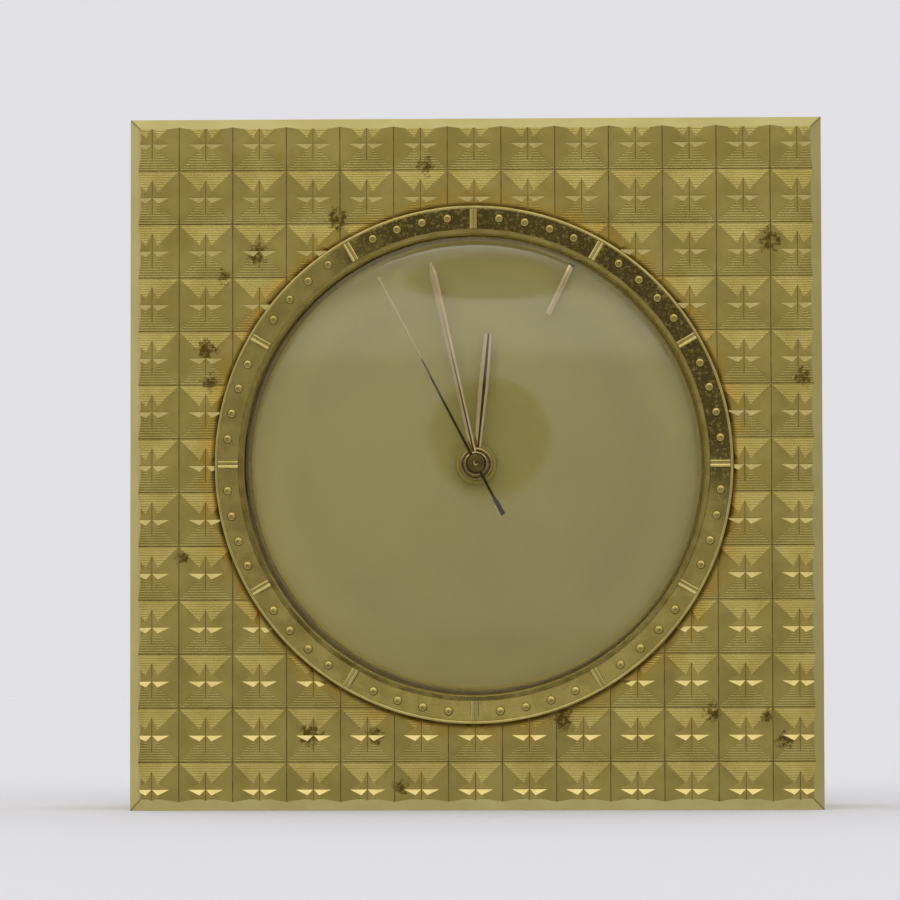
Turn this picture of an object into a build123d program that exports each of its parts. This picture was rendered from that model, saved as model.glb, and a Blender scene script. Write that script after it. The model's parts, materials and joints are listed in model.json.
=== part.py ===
from build123d import *
import os
from math import acos, atan, cos, degrees, radians, sin, sqrt

# The clock is drawn lying on its back: x to the right, y up the dial, z towards the viewer.
# z = 0 is the bottom of the panel's grooves. Sizes are in millimetres, angles in degrees.

# Case
CASE_SIDE = 103.0
BAND_WALL = 1.2
PLATE_T = 1.8
PANEL_T = 0.6
BEVEL = 1.3
COVER_T = 1.5
PILLAR_R = 3.0
PILLAR_INSET = 6.0
POST_R = 2.5
POST_SIDES = 6
SCREW_SIDES = 8
SCREW_HEAD_R = 2.2
SCREW_HEAD_H = 1.2
SCREW_R = 1.2
SCREW_REACH = 5.0
NUT_R = 2.2
NUT_T = 1.6

# Embossed panel: a grid of low pyramids with a groove between them
CELL = 8.0
GROOVE = 0.3
RELIEF = 0.85
PYRAMID_TOP = 0.5
PATTERN_SHIFT_X = -0.25
PATTERN_SHIFT_Y = -0.2

# Glass, spacer and dial
GLASS_R = 0.34 * CASE_SIDE
GLASS_T = 1.6
RIM_W = 2.0
DOME_RISE = 5.0
# Where the dome's flat top and its first band end, as parts of its edge radius
DOME_FLAT = 0.2
DOME_BREAK = 0.6
DOME_GAP = 0.2
SPACER_LAP = 1.1
SPACER_L = 4.5
DIAL_MARGIN = 0.5
DIAL_T = 0.6
DIAL_PILLAR_R = 1.5
DIAL_PILLAR_INSET = 5.0

# Chapter ring: outer lip, sloping floor and inner step
RING_LAP = 0.7
STEP_W = 1.0
FLOOR_W = 2.85
LIP_W = 0.55
RING_H = 1.7
LIP_H = 0.2
FLOOR_FALL = 0.55
STEP_RISE = 0.2
RING_GAP = 0.15
BAR_W = 1.2
BAR_SLIT = 0.3
BEAD_R = 0.7
BEAD_H = 0.5
BEAD_TAPER = 30.0
BEAD_SIDES = 6
BEAD_SHARE = 0.58

# Hands, as they stand in the photo: clockwise from twelve
HOUR_ANGLE = 5.4
MINUTE_ANGLE = -12.6
SECOND_ANGLE = -27.5
ALARM_ANGLE = 25.7
HOUR_SHARE = 0.578
MINUTE_SHARE = 0.927
SECOND_SHARE = 0.942
TAIL_SHARE = 0.26
SECOND_HAND_T = 0.25
SECOND_HUB_T = 0.7
BATON_W = 0.8
BATON_L = 8.4
DISC_EDGE_GAP = 0.7
DISC_T = 0.8
DISC_GAP = 0.9
HAND_GAP = 1.15

# Movement plates
UNDER_DIAL = 5.0
MAIN_INSET = 8.5
MAIN_T = 1.5
TRAIN_H = 8.0
REAR_INSET = 7.0
REAR_H = 44.0
REAR_Y = 8.0
REAR_T = 1.2
PLATE_PILLAR_R = 2.0
PLATE_PILLAR_INSET = 3.0
CENTRE_BUSH_R = 2.3

# Arbors and pipes
RUNNING_FIT = 0.05
ARBOR_R = 0.55
CANNON_R = 1.3
HOUR_PIPE_R = 2.0
ALARM_PIPE_R = 2.6
STEM_R = 1.0
MINUTE_STUD_R = 0.8

# Wheel train: teeth of each wheel and pinion, and where the arbors stand
PINION = 6
CANNON_TEETH = 8
THIRD_TEETH = 45
CENTRE_TEETH = 48
SECOND_TEETH = 36
MIDDLE_TEETH = 30
MINUTE_TEETH = 24
HOUR_TEETH = 24
ALARM_TEETH = 30
WHEEL_T = 0.6
LEAF_OVERHANG = 0.5
THIRD_DISTANCE = 13.5
THIRD_BEARING = 50.0
MIDDLE_BEARING = 150.0
SECOND_MODULE = 0.65
MIDDLE_MODULE = 0.45
MINUTE_DISTANCE = 9.6
ALARM_MODULE = 0.8
ALARM_BEARING = 200.0

# Corners of one tooth: how far round in pitches, and how far out in modules
WHEEL_TOOTH = ((-0.5, -1.1), (0.0, 0.75))
PINION_TOOTH = ((-0.21, -1.1), (-0.11, 0.6), (0.11, 0.6), (0.21, -1.1))
KNOB_FLUTE = ((-0.38, -0.7), (-0.22, 0.0), (0.22, 0.0), (0.38, -0.7))

# Motor and electrics
MAGNET_R = 2.0
STATOR_T = 1.0
STATOR_W = 9.0
ARM_W = 4.0
COIL_REACH = 10.2
COIL_W = 6.4
COIL_L = 17.0
CORE_T = 1.2
BOARD_W = 40.0
BOARD_H = 18.0
BOARD_Y = 19.0
BOARD_T = 1.2
SOUNDER_R = 10.0
SOUNDER_T = 3.0
SOUNDER_INSET_X = 27.5
SOUNDER_INSET_Y = 21.5
SOUND_SLOT_W = 1.2
SOUND_SLOT_PITCH = 3.0

# Battery, tray and door
CELL_R = 7.1
CELL_L = 49.2
NUB_R = 2.7
NUB_L = 1.3
CELL_INSET = 18.5
CELL_ROOM = 1.5
SPRING_ROOM = 5.1
TRAY_WALL = 1.2
TRAY_SHARE = 0.76
DOOR_MARGIN = 1.5
DOOR_T = 1.0
DOOR_LAP = 1.6
SEAT_GAP = 0.05

# Knobs and switch on the back
KNOB_R = 6.0
KNOB_L = 6.5
KNOB_FLUTES = 14
KNOB_STAND_OFF = 2.0
SWITCH_REACH = 7.0
SWITCH_TRAVEL = 5.0
SWITCH_NECK = 3.0
PLAY = 0.3

# Sizes across the front that follow from the ones above
GLASS_OPENING_R = GLASS_R - RING_LAP
STEP_R = GLASS_OPENING_R + STEP_W
LIP_INNER_R = STEP_R + FLOOR_W
RING_R = LIP_INNER_R + LIP_W
BEAD_CIRCLE_R = STEP_R + BEAD_SHARE * FLOOR_W
DOME_EDGE_R = GLASS_OPENING_R - DOME_GAP
DOME_R = (DOME_EDGE_R**2 + DOME_RISE**2) / (2 * DOME_RISE)
SPACER_BORE_R = GLASS_R - SPACER_LAP
DIAL_SIDE = 2 * (GLASS_R + DIAL_MARGIN)
DISC_R = SPACER_BORE_R - DISC_EDGE_GAP
MAIN_SIDE = CASE_SIDE - 2 * MAIN_INSET
REAR_W = MAIN_SIDE - 2 * REAR_INSET
CELL_Y = CELL_INSET - CASE_SIDE / 2
TRAY_W = CELL_L + NUB_L + SPRING_ROOM + 2 * TRAY_WALL
TRAY_H = 2 * (CELL_R + PLAY + TRAY_WALL)
TRAY_DEPTH = TRAY_WALL + 2 * TRAY_SHARE * CELL_R
DOOR_W = TRAY_W + 2 * DOOR_MARGIN
DOOR_H = TRAY_H + 2 * DOOR_MARGIN
SWITCH_Y = BOARD_Y + BOARD_H / 2 + SWITCH_REACH
SOUNDER_X = CASE_SIDE / 2 - SOUNDER_INSET_X
SOUNDER_Y = CASE_SIDE / 2 - SOUNDER_INSET_Y

# Levels that follow, from the front to the back
FLOOR_OUTER_Z = RING_H - LIP_H
FLOOR_INNER_Z = FLOOR_OUTER_Z - FLOOR_FALL
STEP_Z = FLOOR_INNER_Z + STEP_RISE
PLATE_BACK = -(PANEL_T + PLATE_T)
DIAL_FRONT = PLATE_BACK - SPACER_L
DIAL_BACK = DIAL_FRONT - DIAL_T
MAIN_FRONT = DIAL_BACK - UNDER_DIAL
MAIN_BACK = MAIN_FRONT - MAIN_T
REAR_FRONT = MAIN_BACK - TRAIN_H
REAR_BACK = REAR_FRONT - REAR_T
COVER_FRONT = MAIN_BACK - TRAY_WALL - 2 * CELL_R - CELL_ROOM
BAND_BACK = COVER_FRONT - COVER_T
BAND_MIDDLE = (PLATE_BACK + BAND_BACK) / 2

# Heights in front of the dial
DISC_BACK = DIAL_FRONT + DISC_GAP
DISC_FRONT = DISC_BACK + DISC_T
HOUR_HAND_Z = DISC_FRONT + DISC_GAP
MINUTE_HAND_Z = HOUR_HAND_Z + HAND_GAP
SECOND_HAND_Z = MINUTE_HAND_Z + HAND_GAP

# Heights of the wheels, as parts of the room under the dial and between the plates
CANNON_Z = MAIN_FRONT + 0.08 * UNDER_DIAL
MINUTE_WHEEL_Z = MAIN_FRONT + 0.14 * UNDER_DIAL
HOUR_WHEEL_Z = MAIN_FRONT + 0.36 * UNDER_DIAL
ALARM_WHEEL_Z = MAIN_FRONT + 0.64 * UNDER_DIAL
CENTRE_WHEEL_Z = MAIN_BACK - 0.20 * TRAIN_H
STATOR_Z = MAIN_BACK - 0.39 * TRAIN_H
THIRD_WHEEL_Z = MAIN_BACK - 0.50 * TRAIN_H
MIDDLE_WHEEL_Z = MAIN_BACK - 0.61 * TRAIN_H
SECOND_WHEEL_Z = MAIN_BACK - 0.82 * TRAIN_H


def polar(radius, bearing):
    """Point at a radius and bearing from the clock's axis."""
    return radius * cos(radians(bearing)), radius * sin(radians(bearing))


def rod(radius, low, high, place=(0, 0)):
    return Pos(*place, low) * Cylinder(radius, high - low, align=(Align.CENTER, Align.CENTER, Align.MIN))


def tube(outer, inner, low, high, place=(0, 0)):
    return rod(outer, low, high, place) - rod(inner, low, high, place)


def post(radius, sides, low, high, place):
    """Straight piece with flat sides."""
    return extrude(Pos(*place, low) * RegularPolygon(radius, sides), amount=high - low)


def slab(width, height, low, high, place=(0, 0)):
    return Pos(*place, low) * Box(width, height, high - low, align=(Align.CENTER, Align.CENTER, Align.MIN))


def frustum(side, top, low, high):
    """Square block that narrows evenly towards the front."""
    near = (side - top) / 2
    far = side - near
    block = Wedge(side, high - low, side, near, near, far, far, align=(Align.CENTER, Align.MIN, Align.CENTER))
    return Pos(0, 0, low) * Rot(90, 0, 0) * block


def sheet(points, low, high):
    """Flat piece cut to an outline."""
    return extrude(Pos(0, 0, low) * Polygon(*points, align=None), amount=high - low)


def turned(points):
    """Solid turned about the clock's axis from an outline of (radius, height) points."""
    return revolve(Plane.XZ * Polygon(*points, align=None), axis=Axis.Z)


def square_places(half_x, half_y=None, middle_y=0.0):
    half_y = half_x if half_y is None else half_y
    return [(x, middle_y + y) for x in (-half_x, half_x) for y in (-half_y, half_y)]


def group(solids):
    return Compound(children=list(solids))


def gear(teeth, module, low, high, phase, form):
    """Toothed disc, the first tooth pointing along the phase angle."""
    points = []
    for tooth in range(teeth):
        for turn, height in form:
            points.append(polar(module * (teeth / 2 + height), phase + (tooth + turn) * 360 / teeth))
    return sheet(points, low, high)


def mesh_phase(phase, teeth, bearing, other_teeth):
    """Phase that sets a second gear's teeth in the gaps of the first, along the bearing to it."""
    along = (bearing - phase) * teeth / 360
    return bearing + 180 - (0.5 - along) * 360 / other_teeth


# Where the arbors stand, and the tooth sizes that follow
third_place = polar(THIRD_DISTANCE, THIRD_BEARING)
third_module = 2 * THIRD_DISTANCE / (THIRD_TEETH + PINION)
centre_module = 2 * THIRD_DISTANCE / (CENTRE_TEETH + PINION)
middle_distance = SECOND_MODULE * (SECOND_TEETH + PINION) / 2
middle_place = polar(middle_distance, MIDDLE_BEARING)
rotor_distance = MIDDLE_MODULE * (MIDDLE_TEETH + PINION) / 2
rotor_place = polar(middle_distance + rotor_distance, MIDDLE_BEARING)
minute_module = 2 * MINUTE_DISTANCE / (CANNON_TEETH + MINUTE_TEETH)
hour_module = 2 * MINUTE_DISTANCE / (PINION + HOUR_TEETH)
alarm_distance = ALARM_MODULE * (ALARM_TEETH + PINION) / 2
alarm_place = polar(alarm_distance, ALARM_BEARING)

# The setting stem stands opposite the alarm stem, and the minute wheel between it and the axis
setting_bearing = 180 - ALARM_BEARING
setting_place = polar(alarm_distance, setting_bearing)
setting_distance = minute_module * (MINUTE_TEETH + PINION) / 2
minute_swing = acos((alarm_distance**2 + MINUTE_DISTANCE**2 - setting_distance**2)
                    / (2 * alarm_distance * MINUTE_DISTANCE))
minute_bearing = setting_bearing - degrees(minute_swing)
minute_place = polar(MINUTE_DISTANCE, minute_bearing)
bearing_to_setting = degrees(acos((setting_place[0] - minute_place[0]) / setting_distance))

train_places = (third_place, middle_place, rotor_place)
stem_places = (setting_place, alarm_place)

# Case: bevelled front plate and panel, side band, pillars and back cover
bevel_rise = BEVEL + RELIEF
bevel_block = slab(CASE_SIDE, CASE_SIDE, PLATE_BACK, -BEVEL)
bevel_block += frustum(CASE_SIDE, CASE_SIDE - 2 * bevel_rise, -BEVEL, RELIEF)
plate_hole = rod(GLASS_R + RUNNING_FIT, PLATE_BACK, RELIEF)


def embossed_panel():
    """Thin gilt sheet pressed into pyramids, flat where the ring lies."""
    side = CELL - GROOVE
    pyramid = frustum(side, PYRAMID_TOP, 0, RELIEF)
    reach = int(CASE_SIDE / 2 / CELL) + 1
    seat_r = RING_R + RING_GAP
    pyramids = []
    for column in range(-reach, reach + 1):
        for line in range(-reach, reach + 1):
            x = column * CELL + PATTERN_SHIFT_X
            y = line * CELL + PATTERN_SHIFT_Y
            far_corner = sqrt((abs(x) + side / 2)**2 + (abs(y) + side / 2)**2)
            if far_corner > seat_r:
                pyramids.append(Pos(x, y, 0) * pyramid)
    raised = Part() + pyramids - rod(seat_r, 0, RELIEF)
    base = slab(CASE_SIDE, CASE_SIDE, -PANEL_T, 0)
    return ((base + raised) & bevel_block) - plate_hole


def front_plate():
    """Backing plate under the panel; its edge carries the bevel on."""
    return (slab(CASE_SIDE, CASE_SIDE, PLATE_BACK, -PANEL_T) & bevel_block) - plate_hole


def case_band():
    inside = CASE_SIDE - 2 * BAND_WALL
    return slab(CASE_SIDE, CASE_SIDE, BAND_BACK, PLATE_BACK) - slab(inside, inside, BAND_BACK, PLATE_BACK)


pillar_places = square_places(CASE_SIDE / 2 - PILLAR_INSET)
post_places = square_places(DIAL_SIDE / 2 + POST_R)
plate_pillar_places = square_places(REAR_W / 2 - PLATE_PILLAR_INSET, REAR_H / 2 - PLATE_PILLAR_INSET, REAR_Y)


def screw(place):
    """Screw through the back cover into a pillar."""
    head = post(SCREW_HEAD_R, SCREW_SIDES, BAND_BACK - SCREW_HEAD_H, BAND_BACK, place)
    return head + post(SCREW_R, SCREW_SIDES, BAND_BACK, COVER_FRONT + SCREW_REACH, place)


def nut(level, place):
    return post(NUT_R, POST_SIDES, level - NUT_T, level, place)


cover_screws = [screw(place) for place in pillar_places]
movement_nuts = [nut(MAIN_BACK, place) for place in post_places]
movement_nuts += [nut(REAR_BACK, place) for place in plate_pillar_places]

# Battery opening and switch slot in the back cover
opening_w = DOOR_W - 2 * DOOR_LAP
opening_h = DOOR_H - 2 * DOOR_LAP
slot_w = SWITCH_NECK + SWITCH_TRAVEL + 2 * PLAY
slot_x = SWITCH_TRAVEL / 2


def back_cover():
    side = CASE_SIDE - 2 * BAND_WALL - 2 * RUNNING_FIT
    cover = slab(side, side, BAND_BACK, COVER_FRONT) - cover_screws
    cover -= [rod(STEM_R + PLAY, BAND_BACK, COVER_FRONT, place) for place in stem_places]
    cover -= slab(opening_w, opening_h, BAND_BACK, COVER_FRONT, (0, CELL_Y))
    cover -= slab(slot_w, SWITCH_NECK + 2 * PLAY, BAND_BACK, COVER_FRONT, (slot_x, SWITCH_Y))
    for k in (-1, 0, 1):
        place = (SOUNDER_X, SOUNDER_Y + k * SOUND_SLOT_PITCH)
        cover -= slab(SOUNDER_R, SOUND_SLOT_W, BAND_BACK, COVER_FRONT, place)
    return cover


def corner_pillars():
    pillars = [post(PILLAR_R, POST_SIDES, COVER_FRONT, PLATE_BACK, place) for place in pillar_places]
    return group(pillar - made for pillar, made in zip(pillars, cover_screws))


def movement_posts():
    return group(post(POST_R, POST_SIDES, MAIN_FRONT, PLATE_BACK, place) for place in post_places)


# Chapter ring with its bars and beads
floor_slope = FLOOR_FALL / FLOOR_W


def chapter_ring():
    return turned([
        (GLASS_OPENING_R, 0), (RING_R, 0), (RING_R, RING_H), (LIP_INNER_R, RING_H),
        (LIP_INNER_R, FLOOR_OUTER_Z), (STEP_R, FLOOR_INNER_Z), (STEP_R, STEP_Z), (GLASS_OPENING_R, STEP_Z),
    ])


def hour_bars():
    """Double-ridged bars that bridge the ring's floor at the hours."""
    outer_r = sqrt(LIP_INNER_R**2 - (BAR_W / 2)**2)
    outer_z = FLOOR_INNER_Z + floor_slope * (outer_r - STEP_R)
    outline = [(STEP_R, FLOOR_INNER_Z), (outer_r, outer_z), (outer_r, RING_H), (STEP_R, RING_H)]
    bar = extrude(Plane.YZ * Polygon(*outline, align=None), amount=BAR_W / 2, both=True)
    bar -= slab(BAR_SLIT, RING_R, RING_H - BAR_SLIT, RING_H, (0, RING_R))
    return group(Rot(0, 0, 30 * hour) * bar for hour in range(12))


def minute_beads():
    """Small studs on the ring's floor at the minutes between the hours."""
    level = FLOOR_INNER_Z + floor_slope * (BEAD_CIRCLE_R - STEP_R)
    bead = extrude(RegularPolygon(BEAD_R, BEAD_SIDES), amount=BEAD_H, taper=BEAD_TAPER)
    bead = Pos(0, BEAD_CIRCLE_R, level) * Rot(degrees(atan(floor_slope)), 0, 0) * bead
    return group(Rot(0, 0, 6 * minute) * bead for minute in range(60) if minute % 5)


def dome(radius, edge_r):
    """Outline of a shallow dome in straight bands, from its middle to its edge."""
    middle = DOME_RISE - DOME_R
    top = middle + radius
    bands = [(part * edge_r, middle + sqrt(radius**2 - (part * edge_r)**2)) for part in (DOME_BREAK, 1)]
    return [(0, top), (DOME_FLAT * edge_r, top)] + bands


def glass():
    """Domed glass with a flat rim that the ring holds down."""
    bore_r = GLASS_R - RIM_W
    rim = [(GLASS_R, 0), (GLASS_R, PLATE_BACK), (bore_r, PLATE_BACK)]
    return turned(dome(DOME_R, DOME_EDGE_R) + rim + dome(DOME_R - GLASS_T, bore_r)[::-1])


def dial_spacer():
    """Frame that keeps the dial back from the glass."""
    block = slab(DIAL_SIDE, DIAL_SIDE, DIAL_FRONT, PLATE_BACK)
    return block - rod(SPACER_BORE_R, DIAL_FRONT, PLATE_BACK)


def dial():
    return slab(DIAL_SIDE, DIAL_SIDE, DIAL_BACK, DIAL_FRONT) - rod(ALARM_PIPE_R + PLAY, DIAL_BACK, DIAL_FRONT)


def dial_pillars():
    places = [polar(GLASS_R - DIAL_PILLAR_INSET, 90 + 120 * k) for k in range(3)]
    return group(post(DIAL_PILLAR_R, POST_SIDES, MAIN_FRONT, DIAL_BACK, place) for place in places)


# Hands: drawn pointing to twelve, then turned to the angle shown
def hand(outline, low, thickness, hub_r, hub_t, angle):
    blade = sheet(outline, low, low + thickness)
    hub = rod(hub_r, low - (hub_t - thickness) / 2, low + (hub_t + thickness) / 2)
    return Rot(0, 0, -angle) * (blade + hub)


def mirrored(half):
    """Closed outline from its right-hand half, listed from the tip down."""
    return [(-x, y) for x, y in half] + half[::-1]


def hour_hand():
    length = HOUR_SHARE * DISC_R
    outline = mirrored([(0.45, length), (0.55, length - 0.6), (0.73, 0.6 * length), (0.42, HOUR_PIPE_R)])
    made = hand(outline, HOUR_HAND_Z, 0.4, 2.4, 0.7, HOUR_ANGLE)
    return made - rod(HOUR_PIPE_R, DIAL_FRONT, MINUTE_HAND_Z)


def minute_hand():
    length = MINUTE_SHARE * DISC_R
    outline = mirrored([(0.08, length), (0.5, length - 2.5), (0.5, CANNON_R)])
    made = hand(outline, MINUTE_HAND_Z, 0.35, 1.85, 0.65, MINUTE_ANGLE)
    return made - rod(CANNON_R, DIAL_FRONT, SECOND_HAND_Z)


def seconds_hand():
    length = SECOND_SHARE * DISC_R
    tail = TAIL_SHARE * DISC_R
    outline = mirrored([(0.12, length), (0.32, ARBOR_R), (0.32, 3.0 - tail), (0.5, -tail)])
    return hand(outline, SECOND_HAND_Z, SECOND_HAND_T, 1.4, SECOND_HUB_T, SECOND_ANGLE)


def alarm_disc():
    return tube(DISC_R, ALARM_PIPE_R, DISC_BACK, DISC_FRONT)


def alarm_baton():
    baton = slab(BATON_W, BATON_L, DISC_FRONT, DISC_FRONT + 0.35, (0, DISC_R - BATON_L / 2))
    return Rot(0, 0, -ALARM_ANGLE) * baton


# Movement plates, with running holes for the arbors and stems
def bearing_holes(low, high):
    holes = [rod(ARBOR_R + RUNNING_FIT, low, high, place) for place in train_places]
    return holes + [rod(STEM_R + RUNNING_FIT, low, high, place) for place in stem_places]


def front_mainplate():
    plate = slab(MAIN_SIDE, MAIN_SIDE, MAIN_BACK, MAIN_FRONT) - bearing_holes(MAIN_BACK, MAIN_FRONT)
    return plate - rod(CENTRE_BUSH_R, MAIN_BACK, MAIN_FRONT)


def rear_mainplate():
    plate = slab(REAR_W, REAR_H, REAR_BACK, REAR_FRONT, (0, REAR_Y))
    return plate - bearing_holes(REAR_BACK, REAR_FRONT) - rod(ARBOR_R + RUNNING_FIT, REAR_BACK, REAR_FRONT)


def plate_pillars():
    return group(post(PLATE_PILLAR_R, POST_SIDES, REAR_FRONT, MAIN_BACK, place)
                 for place in plate_pillar_places)


def centre_bush():
    return tube(CENTRE_BUSH_R, CANNON_R + RUNNING_FIT, MAIN_BACK - PLAY, MAIN_FRONT)


def minute_stud():
    return rod(MINUTE_STUD_R, MAIN_FRONT, HOUR_WHEEL_Z + WHEEL_T + PLAY, minute_place)


# Seconds, third and centre wheels: tooth phases run on from one mesh to the next
third_phase = mesh_phase(0.0, PINION, THIRD_BEARING, THIRD_TEETH)
centre_phase = mesh_phase(0.0, PINION, THIRD_BEARING + 180, CENTRE_TEETH)
middle_pinion_phase = mesh_phase(0.0, SECOND_TEETH, MIDDLE_BEARING, PINION)
rotor_phase = mesh_phase(0.0, MIDDLE_TEETH, MIDDLE_BEARING, PINION)
minute_phase = mesh_phase(0.0, CANNON_TEETH, minute_bearing, MINUTE_TEETH)
minute_pinion_phase = mesh_phase(0.0, HOUR_TEETH, minute_bearing, PINION)
setting_phase = mesh_phase(minute_phase, MINUTE_TEETH, bearing_to_setting, PINION)
alarm_pinion_phase = mesh_phase(0.0, ALARM_TEETH, ALARM_BEARING, PINION)


def wheel(teeth, module, low, phase):
    return gear(teeth, module, low, low + WHEEL_T, phase, WHEEL_TOOTH)


def pinion(module, low, high, phase):
    return gear(PINION, module, low, high, phase, PINION_TOOTH)


def on_arbor(place, *pieces):
    """Arbor that runs in both plates, in one piece with what it carries."""
    return Pos(*place, 0) * (rod(ARBOR_R, REAR_BACK, MAIN_FRONT) + list(pieces))


def seconds_wheel():
    """Long arbor through the pipes to the seconds hand, with its wheel and pinion."""
    hub_back = SECOND_HAND_Z - (SECOND_HUB_T - SECOND_HAND_T) / 2
    leaves = pinion(third_module, SECOND_WHEEL_Z + WHEEL_T, THIRD_WHEEL_Z + WHEEL_T + LEAF_OVERHANG, 0.0)
    body = rod(ARBOR_R, REAR_BACK, hub_back) + leaves
    return body + wheel(SECOND_TEETH, SECOND_MODULE, SECOND_WHEEL_Z, 0.0)


def third_wheel():
    leaves = pinion(centre_module, THIRD_WHEEL_Z + WHEEL_T, CENTRE_WHEEL_Z + WHEEL_T + LEAF_OVERHANG, 0.0)
    return on_arbor(third_place, leaves, wheel(THIRD_TEETH, third_module, THIRD_WHEEL_Z, third_phase))


def centre_wheel():
    """Wheel that grips the tail of the cannon pinion by friction."""
    low = CENTRE_WHEEL_Z - LEAF_OVERHANG
    body = rod(CENTRE_BUSH_R, low, MAIN_BACK - 2 * PLAY)
    body += wheel(CENTRE_TEETH, centre_module, CENTRE_WHEEL_Z, centre_phase)
    return body - rod(CANNON_R + RUNNING_FIT / 2, low, MAIN_BACK)


def middle_wheel():
    leaves = pinion(SECOND_MODULE, SECOND_WHEEL_Z - LEAF_OVERHANG, MIDDLE_WHEEL_Z, middle_pinion_phase)
    return on_arbor(middle_place, leaves, wheel(MIDDLE_TEETH, MIDDLE_MODULE, MIDDLE_WHEEL_Z, 0.0))


def rotor_arbor():
    low = MIDDLE_WHEEL_Z - LEAF_OVERHANG
    high = MIDDLE_WHEEL_Z + WHEEL_T + LEAF_OVERHANG
    return on_arbor(rotor_place, pinion(MIDDLE_MODULE, low, high, rotor_phase))


def rotor_magnet():
    return tube(MAGNET_R, ARBOR_R, STATOR_Z - 0.3, STATOR_Z + STATOR_T + 0.2, rotor_place)


def cannon_pinion():
    """Pinion on a pipe that carries the minute hand."""
    low = CENTRE_WHEEL_Z - LEAF_OVERHANG - PLAY
    high = MINUTE_HAND_Z + 0.5
    pipe = rod(CANNON_R, low, high)
    teeth = gear(CANNON_TEETH, minute_module, CANNON_Z, HOUR_WHEEL_Z - PLAY, 0.0, PINION_TOOTH)
    return pipe + teeth - rod(ARBOR_R + RUNNING_FIT, low, high)


def minute_wheel():
    """Wheel with its pinion, turning on a fixed stud."""
    high = HOUR_WHEEL_Z + WHEEL_T + PLAY
    body = wheel(MINUTE_TEETH, minute_module, MINUTE_WHEEL_Z, minute_phase)
    body += pinion(hour_module, MINUTE_WHEEL_Z + WHEEL_T, high, minute_pinion_phase)
    return Pos(*minute_place, 0) * (body - rod(MINUTE_STUD_R + RUNNING_FIT, MAIN_FRONT, high))


def hour_wheel():
    pipe = rod(HOUR_PIPE_R, HOUR_WHEEL_Z, HOUR_HAND_Z + 0.55)
    body = pipe + wheel(HOUR_TEETH, hour_module, HOUR_WHEEL_Z, 0.0)
    return body - rod(CANNON_R + RUNNING_FIT, HOUR_WHEEL_Z, HOUR_HAND_Z + 0.55)


def alarm_wheel():
    pipe = rod(ALARM_PIPE_R, ALARM_WHEEL_Z, DISC_FRONT)
    body = pipe + wheel(ALARM_TEETH, ALARM_MODULE, ALARM_WHEEL_Z, 0.0)
    return body - rod(HOUR_PIPE_R + RUNNING_FIT, ALARM_WHEEL_Z, DISC_FRONT)


# Stems and knobs
knob_front = BAND_BACK - KNOB_STAND_OFF
knob_back = knob_front - KNOB_L


def stem_tail():
    """Square end of a stem that its knob grips."""
    return slab(1.4 * STEM_R, 1.4 * STEM_R, knob_back + 1.0, knob_front)


def stem(place, module, low, high, phase):
    """Stem through both plates and the cover, with a pinion at its front end."""
    shaft = rod(STEM_R, knob_front, high) + stem_tail()
    return Pos(*place, 0) * (shaft + pinion(module, low, high, phase))


def setting_stem():
    return stem(setting_place, minute_module, CANNON_Z, MINUTE_WHEEL_Z + WHEEL_T + PLAY, setting_phase)


def alarm_stem():
    high = ALARM_WHEEL_Z + WHEEL_T + LEAF_OVERHANG
    return stem(alarm_place, ALARM_MODULE, ALARM_WHEEL_Z - LEAF_OVERHANG, high, alarm_pinion_phase)


def knob(place):
    """Fluted knob pressed onto a stem's end."""
    body = gear(KNOB_FLUTES, 2 * KNOB_R / KNOB_FLUTES, knob_back, knob_front, 0.0, KNOB_FLUTE)
    return Pos(*place, 0) * (body - stem_tail())


# Motor: stator with a pole hole for the rotor, coil on its core
coil_x = rotor_place[0] - COIL_REACH


def motor_stator():
    x, y = rotor_place
    reach = (COIL_L + ARM_W) / 2 + 0.5
    low = STATOR_Z
    high = STATOR_Z + STATOR_T
    plate = slab(STATOR_W, 2 * reach + ARM_W, low, high, rotor_place)
    left = coil_x - ARM_W / 2
    right = x + STATOR_W / 2
    for side in (-1, 1):
        plate += slab(right - left, ARM_W, low, high, ((left + right) / 2, y + side * reach))
    return plate - rod(MAGNET_R + 0.4, low, high, rotor_place)


def coil_core():
    length = COIL_L + 2 * ARM_W + 1.0
    return slab(ARM_W - 1.0, length, STATOR_Z - CORE_T, STATOR_Z, (coil_x, rotor_place[1]))


def motor_coil():
    """Winding between two flanges, round the core."""
    place = (coil_x, rotor_place[1])
    middle = STATOR_Z - CORE_T / 2
    winding = slab(COIL_W - 1.2, COIL_L, middle - COIL_W / 2 + 0.6, middle + COIL_W / 2 - 0.6, place)
    for end in (-1, 1):
        flange_y = rotor_place[1] + end * (COIL_L / 2 - 0.5)
        winding += slab(COIL_W, 1.0, middle - COIL_W / 2, middle + COIL_W / 2, (coil_x, flange_y))
    return winding - coil_core()


# Circuit board and what stands on it
def circuit_board():
    return slab(BOARD_W, BOARD_H, REAR_BACK - BOARD_T, REAR_BACK, (0, BOARD_Y))


board_back = REAR_BACK - BOARD_T


def quartz_crystal():
    can = Pos(10, BOARD_Y + 3, board_back - 1.5) * Rot(0, 90, 0) * Cylinder(1.5, 8.0)
    return can + slab(6.0, 2.0, board_back - 1.5, board_back, (10, BOARD_Y + 3))


def chip():
    return slab(6.0, 6.0, board_back - 1.2, board_back, (-6, BOARD_Y))


def sounder():
    return rod(SOUNDER_R, COVER_FRONT, COVER_FRONT + SOUNDER_T, (SOUNDER_X, SOUNDER_Y))


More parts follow.
